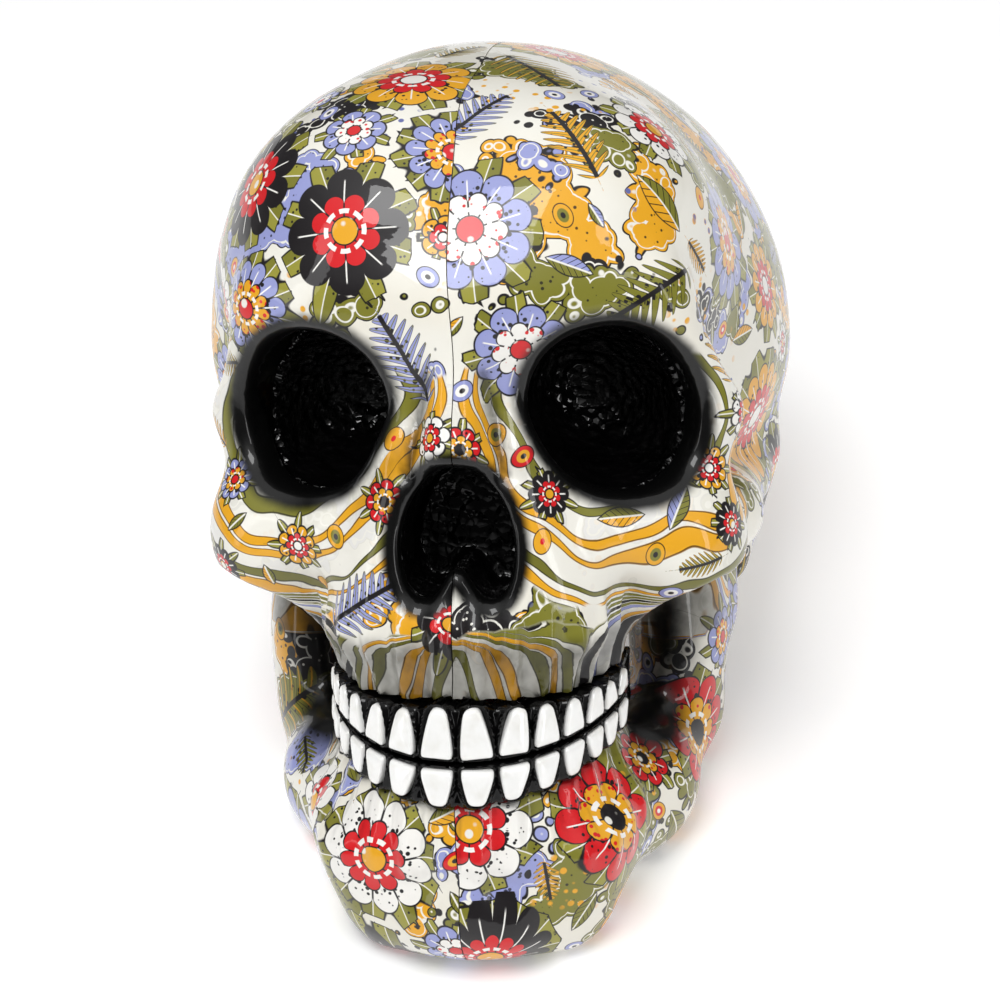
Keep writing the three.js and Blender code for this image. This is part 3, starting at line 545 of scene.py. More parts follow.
def shell_field(points):
    bone = skull_field(points)
    field = smooth_max(bone, gum_shoulder(points), SHOULDER_BLEND)
    field = field - cast_waves(points) - np.where(points[:, 2] < -10, root_ridges(points), 0)
    field = field + NOSE_FURROW_DEPTH * nose_furrows(points)
    field = smooth_max(field, -bite_cut(points, -1), EDGE_BLEND)
    field = smooth_max(field, -gum_seat(points), SEAT_BLEND)
    field = smooth_max(field, JAW_SEAT_GAP - jaw_field(points), EDGE_BLEND)
    below_lip = bone + RIM_LIP_DEPTH
    seat = np.maximum(socket_field(points, SOCKET_WALL + FIT_GAP), below_lip)
    bowl = np.minimum(socket_field(points, -RIM_COVER), seat)
    field = smooth_max(field, -bowl, SOCKET_RIM_ROUND)
    nose_floor = NOSE_BACK_Y + NOSE_WALL + FIT_GAP
    seat = np.maximum(nose_field(points, FIT_GAP, nose_floor), below_lip)
    tunnel = np.minimum(nose_field(points, -NOSE_WALL - RIM_COVER, nose_floor), seat)
    field = smooth_max(field, -tunnel, NOSE_RIM_ROUND)
    field = smooth_max(field, -pour_hole(points), EDGE_BLEND)
    return smooth_max(field, -below_pads(points), EDGE_BLEND)


def mandible_field(points):
    field = smooth_max(jaw_field(points), gum_shoulder(points), SHOULDER_BLEND)
    field = field - cast_waves(points) - JAW_RIDGE_SHARE * root_ridges(points)
    field = smooth_max(field, -bite_cut(points, 1), EDGE_BLEND)
    field = smooth_max(field, -gum_seat(points), SEAT_BLEND)
    return smooth_max(field, -below_pads(points), EDGE_BLEND)


def socket_cup_field(points):
    wall = np.maximum(socket_field(points, SOCKET_WALL), -socket_field(points, 0))
    return smooth_max(wall, skull_field(points) + RIM_LIP_DEPTH + FIT_GAP, CUP_EDGE_BLEND)


def nose_cup_field(points):
    outer = nose_field(points, 0, NOSE_BACK_Y + NOSE_WALL)
    wall = np.maximum(outer, -nose_field(points, -NOSE_WALL, NOSE_BACK_Y))
    return smooth_max(wall, skull_field(points) + RIM_LIP_DEPTH + FIT_GAP, CUP_EDGE_BLEND)


# Skins

def surface_nets(levels, low, step):
    """Vertices and quads of the zero surface of a grid of levels, facing out."""
    inside = levels < 0
    cells = np.array(levels.shape) - 1
    filled = np.zeros(cells, np.int8)
    for i in (0, 1):
        for j in (0, 1):
            for k in (0, 1):
                filled += inside[i:cells[0] + i, j:cells[1] + j, k:cells[2] + k]
    mixed = (filled > 0) & (filled < 8)
    index = np.full(cells, -1, np.int64)
    index[mixed] = np.arange(mixed.sum())
    places = np.argwhere(mixed)
    total = np.zeros((len(places), 3))
    hits = np.zeros(len(places))
    for axis in range(3):
        others = [other for other in range(3) if other != axis]
        for i in (0, 1):
            for j in (0, 1):
                start = places.copy()
                start[:, others[0]] += i
                start[:, others[1]] += j
                end = start.copy()
                end[:, axis] += 1
                a = levels[tuple(start.T)]
                b = levels[tuple(end.T)]
                crossed = (a < 0) != (b < 0)
                share = a[crossed] / (a[crossed] - b[crossed])
                total[crossed] += start[crossed]
                total[crossed, axis] += share
                hits[crossed] += 1
    vertices = np.asarray(low) + step * total / hits[:, None]
    quads = []
    for axis in range(3):
        across = (axis + 1) % 3
        up = (axis + 2) % 3
        first = np.take(inside, range(cells[axis]), axis)
        second = np.take(inside, range(1, cells[axis] + 1), axis)
        edges = np.argwhere(first != second)
        fits = (edges[:, across] > 0) & (edges[:, up] > 0)
        fits &= (edges[:, across] < cells[across]) & (edges[:, up] < cells[up])
        edges = edges[fits]
        ring = []
        for back, down in ((1, 1), (0, 1), (0, 0), (1, 0)):
            corner = edges.copy()
            corner[:, across] -= back
            corner[:, up] -= down
            ring.append(index[tuple(corner.T)])
        ring = np.stack(ring, 1)
        inward = ~inside[tuple(edges.T)]
        ring[inward] = ring[inward][:, ::-1]
        quads.append(ring)
    return vertices, np.concatenate(quads)


def slopes(field, points, step=0.25):
    level = field(points)
    slope = np.empty_like(points)
    for axis in range(3):
        ahead = points.copy()
        ahead[:, axis] += step
        slope[:, axis] = (field(ahead) - level) / step
    return level, slope


def skin(field, low, high, step):
    """Vertices and quads around a field, each vertex settled on its surface."""
    axes = [np.arange(low[axis], high[axis] + step, step, dtype=np.float32) for axis in range(3)]
    grid = np.stack(np.meshgrid(*axes, indexing="ij"), -1)
    levels = np.concatenate([field(slab.reshape(-1, 3)) for slab in grid]).reshape(grid.shape[:3])
    vertices, quads = surface_nets(levels, low, step)
    vertices = vertices.astype(np.float32)
    for round_number in range(3):
        level, slope = slopes(field, vertices)
        move = np.clip(level / np.maximum((slope ** 2).sum(1), 0.05), -step / 3, step / 3)
        vertices -= move[:, None] * slope
    return vertices, quads


# Meshes and pieces

def bare_mesh(name, vertices, faces):
    """A mesh in skull-frame millimetres from vertices and faces with one number of corners."""
    mesh = bpy.data.meshes.new(name)
    faces = np.asarray(faces)
    mesh.vertices.add(len(vertices))
    mesh.vertices.foreach_set("co", np.asarray(vertices, np.float32).ravel())
    mesh.loops.add(faces.size)
    mesh.loops.foreach_set("vertex_index", faces.astype(np.int32).ravel())
    mesh.polygons.add(len(faces))
    mesh.polygons.foreach_set("loop_start", np.arange(0, faces.size, faces.shape[1], dtype=np.int32))
    mesh.update(calc_edges=True)
    mesh.validate()
    return mesh


def vertices_of(mesh):
    places = np.empty(len(mesh.vertices) * 3, np.float32)
    mesh.vertices.foreach_get("co", places)
    return places.reshape(-1, 3)


def move_vertices(mesh, places):
    mesh.vertices.foreach_set("co", np.asarray(places, np.float32).ravel())
    mesh.update()


def tube_faces(rings, count, start=0):
    """Quads between neighbouring closed rings of vertices, each with the same count."""
    faces = []
    for ring in range(rings - 1):
        first = start + ring * count
        for step in range(count):
            a = first + step
            b = first + (step + 1) % count
            faces.append((a, b, b + count, a + count))
    return faces


def polygon_mesh(name, places, faces):
    mesh = bpy.data.meshes.new(name)
    mesh.from_pydata(places, [], faces)
    return mesh


def finish_piece(mesh, material, nodes, body="skull", sharp=50):
    """Leans a skull-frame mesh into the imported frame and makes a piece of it."""
    move_vertices(mesh, to_frame(vertices_of(mesh)))
    add_piece(mesh, material, nodes, body, sharp)


def add_piece(mesh, material, nodes, body="skull", sharp=50):
    """Makes a smooth piece of a packed-frame mesh, riding on its body in place of its nodes."""
    mesh.shade_smooth()
    mesh.set_sharp_from_angle(angle=math.radians(sharp))
    mesh.materials.append(material)
    piece = bpy.data.objects.new(mesh.name, mesh)
    bpy.context.scene.collection.objects.link(piece)
    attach(piece, body)
    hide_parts(*nodes)


def seam_wave(points):
    """How far the hand-sanded seam strays from the middle plane."""
    y, z = points[:, 1], points[:, 2]
    along = np.arctan2(z + 10, -y - 10)
    return 0.9 * np.sin(5 * along + 0.4) + 0.35 * np.sin(17 * along) - 0.5


def half_mesh(name, vertices, quads, sign):
    """The part of a casting on one side of the seam, closed by a flat along it."""
    straight = vertices.copy()
    straight[:, 0] -= seam_wave(vertices)
    mesh = bare_mesh(name, straight, quads)
    shape = bmesh.new()
    shape.from_mesh(mesh)
    every = list(shape.verts) + list(shape.edges) + list(shape.faces)
    plane = (sign * SEAM_GAP / 2, 0, 0)
    facing = (-sign, 0, 0)
    cut = bmesh.ops.bisect_plane(
        shape, geom=every, dist=1e-4, plane_co=plane, plane_no=facing, clear_outer=True)
    edges = [item for item in cut["geom_cut"] if isinstance(item, bmesh.types.BMEdge)]
    bmesh.ops.triangle_fill(shape, use_beauty=True, edges=edges, normal=facing)
    shape.to_mesh(mesh)
    shape.free()
    bent = vertices_of(mesh)
    bent[:, 0] += seam_wave(bent)
    move_vertices(mesh, bent)
    return mesh


# Print: stamps spread over a casting, each face given to the stamp that it lies nearest to

STAMP_SIZES = ((15, 20), (11.5, 40), (8, 90), (5.5, 200), (3.2, 600))
STAMP_TRIES = 3600
STAMP_GAP = 0.5
STAMP_ALIGNED = 0.85
# Most sprayed black and painted shade on which a stamp may still lie
STAMP_SPRAY_AND_SHADE = 0.45
ROOT_STAMP_HEIGHT = 13
ROOT_STAMP_CLEARANCE = 9
FACE_BACK_Y = -20
# Reach of the sprayed black round the sockets and the nose, of sprayed black with painted shade in the
# recesses, and width of the sprayed band round the gums
SOCKET_SPRAY = 5
NOSE_SPRAY = 3.5
RECESS_SPRAY_AND_SHADE = 10
GUM_SPRAY_WIDTH = 9
# Darkening laid on the film: grey overspray with painted shade above the upper gum and over the upper
# roots, and painted shade in the nasal furrows; the root streak is a band of print
UPPER_GUM_HAZE_AND_SHADE = 0.52
ROOT_HAZE_AND_SHADE = 0.66
ROOT_STREAK = 0.8
FURROW_SHADE = 0.75
ROSETTE, FROND, SEED_MOTIF, LEAF = 0, 1, 2, 3


def srgb(red, green, blue):
    """A linear colour from the usual 0 to 255 levels."""
    def linear(level):
        share = level / 255
        return share / 12.92 if share <= 0.04045 else ((share + 0.055) / 1.055) ** 2.4
    return (linear(red), linear(green), linear(blue), 1)


IVORY = srgb(232, 230, 221)
MUSTARD = srgb(226, 164, 38)
OLIVE = srgb(122, 120, 46)
LILAC = srgb(148, 154, 204)
RED = srgb(208, 30, 36)
CHARCOAL = srgb(30, 27, 29)
WHITE = srgb(238, 236, 231)

FLOWER_INKS = (
    (LILAC, MUSTARD, RED),
    (RED, MUSTARD, CHARCOAL),
    (MUSTARD, RED, WHITE),
    (LILAC, WHITE, RED),
    (WHITE, RED, MUSTARD),
    (CHARCOAL, RED, MUSTARD),
)
LEAF_INKS = (
    (OLIVE, MUSTARD, CHARCOAL),
    (OLIVE, OLIVE, CHARCOAL),
    (MUSTARD, OLIVE, CHARCOAL),
    (LILAC, OLIVE, CHARCOAL),
)
SEED_INKS = (
    (MUSTARD, OLIVE, CHARCOAL),
    (MUSTARD, RED, WHITE),
    (LILAC, WHITE, CHARCOAL),
    (RED, MUSTARD, CHARCOAL),
    (MUSTARD, MUSTARD, RED),
)


def streak_weight(points):
    """Where the film was stretched into bands: the cheeks and the bridge of the nose."""
    reach = socket_field(points, SOCKET_WALL)
    low = 1 - ramp(points[:, 2], 22, 38)
    face = ramp(-points[:, 1], 40, 58)
    return ramp(30 - reach, 0, 14) * low * face * ramp(points[:, 2], -42, -30)


def gum_distance(points):
    sideways = np.maximum(np.abs(arch_growth(points)) - GUM_SPRAY_WIDTH, 0)
    return np.hypot(np.maximum(gum_height(points), 0), sideways)


def recess_distance(points):
    return rod(mirrored(points), RECESS_TOP, RECESS_LOW, (RECESS_RADIUS, RECESS_RADIUS))


def spray_and_shade_level(points):
    """How much black is laid on: sprayed black round the sockets, the nose and the gums, sprayed black
    with painted shade in the recesses, grey overspray with painted shade over the upper roots, and
    painted shade in the hollows between the root ridges.
    """
    socket = socket_field(points, SOCKET_WALL)
    nose = nose_field(points, 0, NOSE_BACK_Y)
    gums = gum_distance(points)
    spray_and_shade = np.maximum(1 - socket / SOCKET_SPRAY, 1 - nose / NOSE_SPRAY)
    upper = above_bite(points) > 0
    spray_and_shade = np.maximum(spray_and_shade, np.where(upper, 0.68 - gums / 12, 0.62 - gums / 8))
    # Above the upper gum: grey overspray and painted shade, fading out between 9 and 21 mm from the gum
    spray_and_shade = np.maximum(spray_and_shade, np.where(upper, UPPER_GUM_HAZE_AND_SHADE * (1 - ramp(gums, 9, 21)), 0))
    # Sprayed black and painted shade in the recesses beside the jaw's upright branches
    spray_and_shade = np.maximum(spray_and_shade, 1 - recess_distance(points) / RECESS_SPRAY_AND_SHADE)
    # Painted shade in the hollows between the root ridges
    groove_shade = np.clip(-root_ridges(points) / ROOT_RIDGE_HEIGHT - 0.1, 0, 0.35) * 1.6
    return np.clip(np.maximum(spray_and_shade, groove_shade), 0, 1)


def root_wash(points):
    """Where the film was drawn thin over the upper roots: 1 near the gum, 0 well above it."""
    front = ramp(-points[:, 1], 15, 35)
    return np.where(above_bite(points) > 0, 1 - ramp(gum_distance(points), 11, 21), 0) * front


def overspray_and_shade_level(points):
    """Painted shade on the sides of the nose between the openings, in the nasal furrows and around the
    recesses, with grey overspray and painted shade over the upper roots.
    """
    openings = np.maximum(socket_field(points, SOCKET_WALL), nose_field(points, 0, NOSE_BACK_Y))
    # Painted shade on the sides of the nose, where a socket and the nose lie near, and in the recesses
    # beside the jaw's upright branches
    overspray_and_shade = np.maximum(0.5 * (1 - ramp(openings, 5, 17)), 0.92 - recess_distance(points) / 17)
    # Over the upper roots: grey overspray and painted shade
    overspray_and_shade = np.maximum(overspray_and_shade, ROOT_HAZE_AND_SHADE * root_wash(points))
    # Painted shade along the furrows beside the nasal bone
    return np.maximum(overspray_and_shade, FURROW_SHADE * nose_furrows(points))


def spread_stamps(centres, fit, weight, chance):
    """Greedy packing of round stamps on the faces that fit, large ones first: their faces and radii."""
    faces = []
    radii = []
    for radius, most in STAMP_SIZES:
        tries = chance.permutation(np.flatnonzero(fit))[:STAMP_TRIES]
        made = 0
        for face in tries:
            if made >= most:
                break
            if radius > 6 and weight[face] > 0.4:
                continue
            if faces:
                gaps = np.linalg.norm(centres[faces] - centres[face], axis=1) - np.array(radii) - radius
                if gaps.min() < STAMP_GAP:
                    continue
            faces.append(face)
            radii.append(radius)
            made += 1
    return np.array(faces), np.array(radii, float)


def nearest_stamps(points, stamp_centres, radii):
    """The stamp that each point lies nearest to, and how much farther the next one lies."""
    nearest = np.zeros(len(points), np.int64)
    best = np.full(len(points), 1e9, np.float32)
    second = best.copy()
    for index, (centre, radius) in enumerate(zip(stamp_centres, radii)):
        gap = np.sqrt(((points - centre) ** 2).sum(1)) - np.float32(radius)
        closer = gap < best
        second = np.minimum(second, np.where(closer, best, gap))
        best[closer] = gap[closer]
        nearest[closer] = index
    return nearest, second - best


def stamp_looks(radii, chance):
    """Kind, petals and turn of each stamp, with its three inks."""
    looks = np.zeros((len(radii), 3), np.float32)
    inks = np.zeros((3, len(radii), 4), np.float32)
    for index, radius in enumerate(radii):
        draw = chance.random()
        if radius > 9:
            kind = ROSETTE if draw < 0.6 else FROND
        elif radius > 4:
            kind = ROSETTE if draw < 0.4 else FROND if draw < 0.65 else LEAF
        else:
            kind = SEED_MOTIF if draw < 0.75 else LEAF
        sets = {ROSETTE: FLOWER_INKS, FROND: LEAF_INKS, SEED_MOTIF: SEED_INKS, LEAF: LEAF_INKS}[kind]
        petals = chance.integers(8, 13) if radius > 9 else chance.integers(5, 9)
        looks[index] = (kind, petals, chance.uniform(0, 2 * math.pi))
        inks[:, index] = sets[chance.integers(len(sets))]
    return looks, inks


def print_film(mesh, bone, seed):
    """Writes the print, the sprayed black and the painted shade onto a skull-frame mesh as attributes
    that the film's shader reads.

    Stamps lie square to the field of the bare bone, and only where the surface follows it.
    """
    chance = np.random.default_rng(seed)
    count = len(mesh.polygons)
    centres = np.empty(count * 3, np.float32)
    normals = np.empty(count * 3, np.float32)
    mesh.polygons.foreach_get("center", centres)
    mesh.polygons.foreach_get("normal", normals)
    centres = centres.reshape(-1, 3)
    normals = normals.reshape(-1, 3)
    unused, guides = slopes(bone, centres, 2.0)
    guides /= np.maximum(np.linalg.norm(guides, axis=1), 1e-3)[:, None]
    fit = ((normals * guides).sum(1) > STAMP_ALIGNED) & (spray_and_shade_level(centres) < STAMP_SPRAY_AND_SHADE)
    fit &= (gum_height(centres) > ROOT_STAMP_HEIGHT) | (above_bite(centres) < 0)
    faces, radii = spread_stamps(centres, fit, streak_weight(centres), chance)
    looks, inks = stamp_looks(radii, chance)
    middles = centres[faces]
    clear = gum_height(middles) > radii + ROOT_STAMP_CLEARANCE
    clear |= (above_bite(middles) < 0) | (middles[:, 1] > FACE_BACK_Y)
    faces, radii, looks, inks = faces[clear], radii[clear], looks[clear], inks[:, clear]
    middles = middles[clear]
    owner, unused = nearest_stamps(centres, middles, radii)

    up = np.array([0.05, 0.1, 1.0])
    across = np.cross(up, guides[faces])
    across /= np.maximum(np.linalg.norm(across, axis=1), 1e-3)[:, None]
    along = np.cross(guides[faces], across)
    turn = looks[:, 2:3]
    first = across * np.cos(turn) + along * np.sin(turn)
    second = along * np.cos(turn) - across * np.sin(turn)

    corner_vertices = np.empty(len(mesh.loops), np.int32)
    mesh.loops.foreach_get("vertex_index", corner_vertices)
    totals = np.empty(count, np.int32)
    mesh.polygons.foreach_get("loop_total", totals)
    corner_owner = np.repeat(owner, totals)
    places = vertices_of(mesh)
    offset = places[corner_vertices] - middles[corner_owner]
    motif = np.stack([
        (offset * first[corner_owner]).sum(1),
        (offset * second[corner_owner]).sum(1),
        radii[corner_owner],
    ], 1)

    def attribute(name, kind, domain, field, values):
        layer = mesh.attributes.new(name, kind, domain)
        layer.data.foreach_set(field, np.asarray(values, np.float32).ravel())

    attribute("motif", "FLOAT_VECTOR", "CORNER", "vector", motif)
    attribute("look", "FLOAT_VECTOR", "FACE", "vector", looks[owner])
    for name, ink in zip(("ink_outer", "ink_middle", "ink_heart"), inks):
        attribute(name, "FLOAT_COLOR", "FACE", "color", ink[owner])
    attribute("margin", "FLOAT", "POINT", "value", nearest_stamps(places, middles, radii)[1])
    # Sprayed black, with painted shade in the recesses, the hollows between the root ridges, the nasal
    # furrows and over the upper roots, fading out towards the back
    spray_and_shade = np.maximum(spray_and_shade_level(places), overspray_and_shade_level(places)) * ramp(-places[:, 1], 10, 30)
    wash = root_wash(places)
    streak = np.maximum(streak_weight(places), ROOT_STREAK * wash)
    flow = (1 - wash) * socket_field(places, SOCKET_WALL) + wash * arch_length(places)
    attribute("film", "FLOAT_VECTOR", "POINT", "vector", np.stack([spray_and_shade, streak, flow], 1))


# Shader values that build their own nodes

class Value:
    """A number on the surface; arithmetic on it adds nodes to its material."""

    def __init__(self, tree, socket):
        self.tree = tree
        self.socket = socket

    def math(self, operation, *others):
        node = self.tree.nodes.new("ShaderNodeMath")
        node.operation = operation
        for socket, value in zip(node.inputs, (self, *others)):
            if isinstance(value, Value):
                self.tree.links.new(value.socket, socket)
            else:
                socket.default_value = value
        return Value(self.tree, node.outputs[0])

    def __add__(self, other):
        return self.math("ADD", other)

    def __sub__(self, other):
        return self.math("SUBTRACT", other)

    def __mul__(self, other):
        return self.math("MULTIPLY", other)

    def __truediv__(self, other):
        return self.math("DIVIDE", other)

    def flipped(self):
        return self.math("MULTIPLY_ADD", -1.0, 1.0)

    def size(self):
        return self.math("ABSOLUTE")

    def root(self):
        return self.math("SQRT")

    def above(self, low, high):
        """Smooth step from 0 at low to 1 at high."""
        node = self.tree.nodes.new("ShaderNodeMapRange")
        node.interpolation_type = "SMOOTHSTEP"
        self.tree.links.new(self.socket, node.inputs["Value"])
        node.inputs["From Min"].default_value = low
        node.inputs["From Max"].default_value = high
        return Value(self.tree, node.outputs["Result"])

    def below(self, edge, soft=0.12):
        """1 where the value is under the edge, with a soft step around it."""
        return (self - edge).above(soft, -soft)

    def equals(self, number):
        return self.math("COMPARE", float(number), 0.25)


def attribute_node(tree, name):
    node = tree.nodes.new("ShaderNodeAttribute")
    node.attribute_name = name
    return node


def split_vector(tree, socket):
    node = tree.nodes.new("ShaderNodeSeparateXYZ")
    tree.links.new(socket, node.inputs[0])
    return [Value(tree, output) for output in node.outputs]


def colour_mix(tree, mask, under, over):
    """Lays one colour over another where the mask is 1; a colour is a tuple or a socket."""
    node = tree.nodes.new("ShaderNodeMix")
    node.data_type = "RGBA"
    tree.links.new(mask.socket, node.inputs[0])
    for socket, colour in ((node.inputs[6], under), (node.inputs[7], over)):
        if isinstance(colour, tuple):
            socket.default_value = colour
        else:
            tree.links.new(colour, socket)
    return node.outputs[2]


def layered(tree, colour, *coats):
    """Lays inks over a colour, one after the other, each where its mask is 1."""
    for mask, ink in coats:
        colour = colour_mix(tree, mask, colour, ink)
    return colour


def noise(tree, vector, **inputs):
    return Value(tree, texture(tree, "ShaderNodeTexNoise", vector, **inputs).outputs[0])


def cells(tree, vector, scale):
    """Distance to the nearest of scattered points."""
    return Value(tree, texture(tree, "ShaderNodeTexVoronoi", vector, Scale=scale).outputs["Distance"])


def texture(tree, kind, vector, **inputs):
    node = tree.nodes.new(kind)
    tree.links.new(vector, node.inputs["Vector"])
    for name, value in inputs.items():
        node.inputs[name].default_value = value
    return node


def gloss_material(name, roughness, coat, coat_roughness):
    """A clear-coated material and its tree, principled shader and coordinates in metres."""
    material = bpy.data.materials.new(name)
    material.use_nodes = True
    tree = material.node_tree
    shader = tree.nodes["Principled BSDF"]
    shader.inputs["Roughness"].default_value = roughness
    shader.inputs["Coat Weight"].default_value = coat
    shader.inputs["Coat Roughness"].default_value = coat_roughness
    place = tree.nodes.new("ShaderNodeTexCoord").outputs["Object"]
    return material, tree, shader, place


def add_bump(tree, shader, height, distance, strength=1.0):
    node = tree.nodes.new("ShaderNodeBump")
    node.inputs["Strength"].default_value = strength
    node.inputs["Distance"].default_value = distance
    tree.links.new(height, node.inputs["Height"])
    tree.links.new(node.outputs["Normal"], shader.inputs["Normal"])
    tree.links.new(node.outputs["Normal"], shader.inputs["Coat Normal"])


# Printed film

def film_material():
    material, tree, shader, place = gloss_material("printed_film", 0.4, 0.75, 0.03)
    shader.inputs["Specular IOR Level"].default_value = 0.12
    shader.inputs["Coat IOR"].default_value = 1.42
    u, v, size = split_vector(tree, attribute_node(tree, "motif").outputs["Vector"])
    kind, petals, unused = split_vector(tree, attribute_node(tree, "look").outputs["Vector"])
    spray_and_shade, streak, flow = split_vector(tree, attribute_node(tree, "film").outputs["Vector"])
    ink_outer = attribute_node(tree, "ink_outer").outputs["Color"]
    ink_middle = attribute_node(tree, "ink_middle").outputs["Color"]
    ink_heart = attribute_node(tree, "ink_heart").outputs["Color"]
    margin = Value(tree, attribute_node(tree, "margin").outputs["Fac"])
    patches = texture(tree, "ShaderNodeTexNoise", place, Scale=44, Detail=1.5, Roughness=0.4)
    patch = tree.nodes.new("ShaderNodeSeparateColor")
    tree.links.new(patches.outputs["Color"], patch.inputs[0])
    patch_a, patch_b, patch_c = (Value(tree, output) for output in patch.outputs)
    clouds = noise(tree, place, Scale=37, Detail=1.5)
    grain = noise(tree, place, Scale=260, Detail=2)
    lobes = cells(tree, place, 250)
    dots = cells(tree, place, 640)
    beads = cells(tree, place, 300)

    # Ground: ivory with faint warm clouds, lobed patches of ink with stippled insides, and loose dots
    colour = colour_mix(tree, patch_b.above(0.35, 0.75), IVORY, srgb(226, 221, 207))
    grounds = (
        (patch_a, MUSTARD, 0.57),
        (patch_c, LILAC, 0.565),
        (clouds, CHARCOAL, 0.62),
        (patch_b, OLIVE, 0.575),
    )
    for level, ink, edge in grounds:
        lobed = level - edge + (lobes - 0.42) * -0.1
        inside = lobed.above(0, 0.006)
        shade = dots.below((lobed * 2.6).math("MINIMUM", 0.32), 0.05)
        colour = layered(
            tree, colour,
            (inside, ink),
            (shade * inside * 0.9, IVORY if ink == CHARCOAL else CHARCOAL),
            ((lobed - 0.03).size().below(0.0045, 0.002), IVORY),
            ((lobed - 0.005).size().below(0.0045, 0.002), CHARCOAL),
        )
    colour = layered(
        tree, colour,
        (beads.below(0.24, 0.04) * patch_a.above(0.42, 0.36), MUSTARD),
        (beads.below(0.2, 0.04) * patch_c.above(0.4, 0.34), srgb(96, 104, 160)),
    )

    # Bands of film that were drawn out along the rims of the sockets and down the upper roots
    band = (flow + (patch_a - 0.5) * 15 + (patch_c - 0.5) * 8) / 3.3
    chosen = tree.nodes.new("ShaderNodeTexWhiteNoise")
    chosen.noise_dimensions = "1D"
    tree.links.new(band.math("FLOOR").socket, chosen.inputs["W"])
    pick = Value(tree, chosen.outputs["Value"])
    within = (band.math("FRACT") - 0.5).size()
    thick = clouds * 0.9 - 0.12
    ribbon = within.below(thick, 0.03)
    edges = (within - thick + 0.09).above(0, 0.02) * ribbon
    drawn = (streak + (patch_b - 0.5) * 1.6).above(0.4, 0.5)
    colour = colour_mix(tree, drawn * 0.9, colour, IVORY)
    for low, ink in ((0.72, MUSTARD), (0.48, OLIVE), (0.3, CHARCOAL), (0.2, LILAC)):
        picked = pick.above(low, low + 0.01) * pick.above(low + 0.25, low + 0.24)
        colour = colour_mix(tree, drawn * ribbon * picked, colour, ink)
    colour = colour_mix(tree, drawn * edges * pick.above(0.2, 0.21) * 0.8, colour, CHARCOAL)

    # Rosettes: two rings of petals around a heart, with leaves behind them
    away = (u * u + v * v).root()
    half_turn = v.math("ARCTAN2", u) * petals * 0.5
    wave = half_turn.math("SINE").size()
    cross = half_turn.math("COSINE").size()
    outer_edge = size * (wave.root() * 0.24 + 0.68)
    inner_edge = size * (cross.root() * 0.17 + 0.38)
    inner = away.below(inner_edge)
    petal_width = away / petals * 2
    base_share = (outer_edge - away) / (outer_edge - inner_edge)
    beside = petal_width * wave
    across_petal = petal_width * cross
    share = (away / size - 0.5) / 0.85
    leaf_width = (share * share.flipped()).math("MAXIMUM", 0.0).root() * size * 0.36
    blade = colour_mix(tree, half_turn.math("SINE").above(-0.02, 0.02), OLIVE, srgb(150, 146, 60))
    blade = layered(
        tree, blade,
        (dots.below(share.flipped() * 0.4, 0.05), CHARCOAL),
        (beside.below(0.14, 0.08), IVORY),
        ((leaf_width - beside).below(0.3, 0.1), CHARCOAL),
        (margin.below(1.9, 0.1), CHARCOAL),
    )
    heart = away.below(size * 0.2)
    dashes = (away - size * 0.29).size().below(size * 0.035, 0.06) * wave.above(0.45, 0.6)
    flower = layered(
        tree, ink_outer,
        (dots.below(base_share * 0.42, 0.05), CHARCOAL),
        (beside.below(0.24, 0.1), CHARCOAL),
        (across_petal.below(0.16, 0.08) * base_share.above(0.3, 0.4), WHITE),
        ((outer_edge - away).below(0.42, 0.1), CHARCOAL),
        (inner, ink_middle),
        (inner * across_petal.below(0.2, 0.08), CHARCOAL),
        (inner * dots.below((inner_edge - away) / size * -1.2 + 0.42, 0.05), RED),
        ((inner_edge - away).size().below(0.2, 0.08), CHARCOAL),
        (dashes, WHITE),
        (heart, ink_heart),
        ((away - size * 0.2).size().below(0.16, 0.08), CHARCOAL),
        (heart * beads.below(0.3, 0.05), IVORY),
    )

    # Fronds: slanted leaflets on both sides of a stem
    across = u.size()
    reach = (size * size * 0.84 - v * v).math("MAXIMUM", 0.01).root() * 0.62
    tip = (across / reach).math("MINIMUM", 1.0)
    leaflet = (((v - across * 0.7) / size * 4.6).math("FRACT") - 0.5).size()
    blade_width = tip.flipped().root() * 0.46
    leaflets = leaflet.below(blade_width, 0.03) * tip.below(0.97, 0.02)
    stem = (across - size * 0.03).below(0.2, 0.1) * v.size().below(size * 0.9)
    frond = layered(
        tree, ink_outer,
        (dots.below(tip.flipped() * 0.45, 0.05), CHARCOAL),
        (leaflet.below(0.05, 0.03), ink_middle),
        ((blade_width - leaflet).below(0.06, 0.03), CHARCOAL),
        (stem, CHARCOAL),
    )

    # Leaves: a pointed blade, parted by its midrib, with slanted veins
    shape = (v / size * v / size).flipped() * size * 0.42
    vein = (((v - across) / size * 3.5).math("FRACT") - 0.5).size()
    leaf = layered(
        tree, ink_outer,
        (u.above(-0.06, 0.06), ink_middle),
        (vein.below(0.07, 0.03), CHARCOAL),
        (across.below(0.2, 0.1), IVORY),
        ((shape - across).below(0.3, 0.1), CHARCOAL),
    )

    # Seeds: nested ovals
    oval = (u * u * 1.9 + v * v).root() / size
    seed = layered(
        tree, ink_outer,
        (oval.below(0.5, 0.04), ink_middle),
        (oval.below(0.22, 0.04), ink_heart),
        ((oval - 0.86).size().below(0.05, 0.03), CHARCOAL),
    )

    motifs = (
        (ROSETTE, beside.below(leaf_width, 0.1) * margin.above(1.3, 1.5), blade),
        (ROSETTE, away.below(outer_edge), flower),
        (FROND, leaflets.math("MAXIMUM", stem), frond),
        (LEAF, across.below(shape), leaf),
        (SEED_MOTIF, oval.below(0.9, 0.04), seed),
    )
    for number, cover, ink in motifs:
        colour = colour_mix(tree, cover * kind.equals(number), colour, ink)

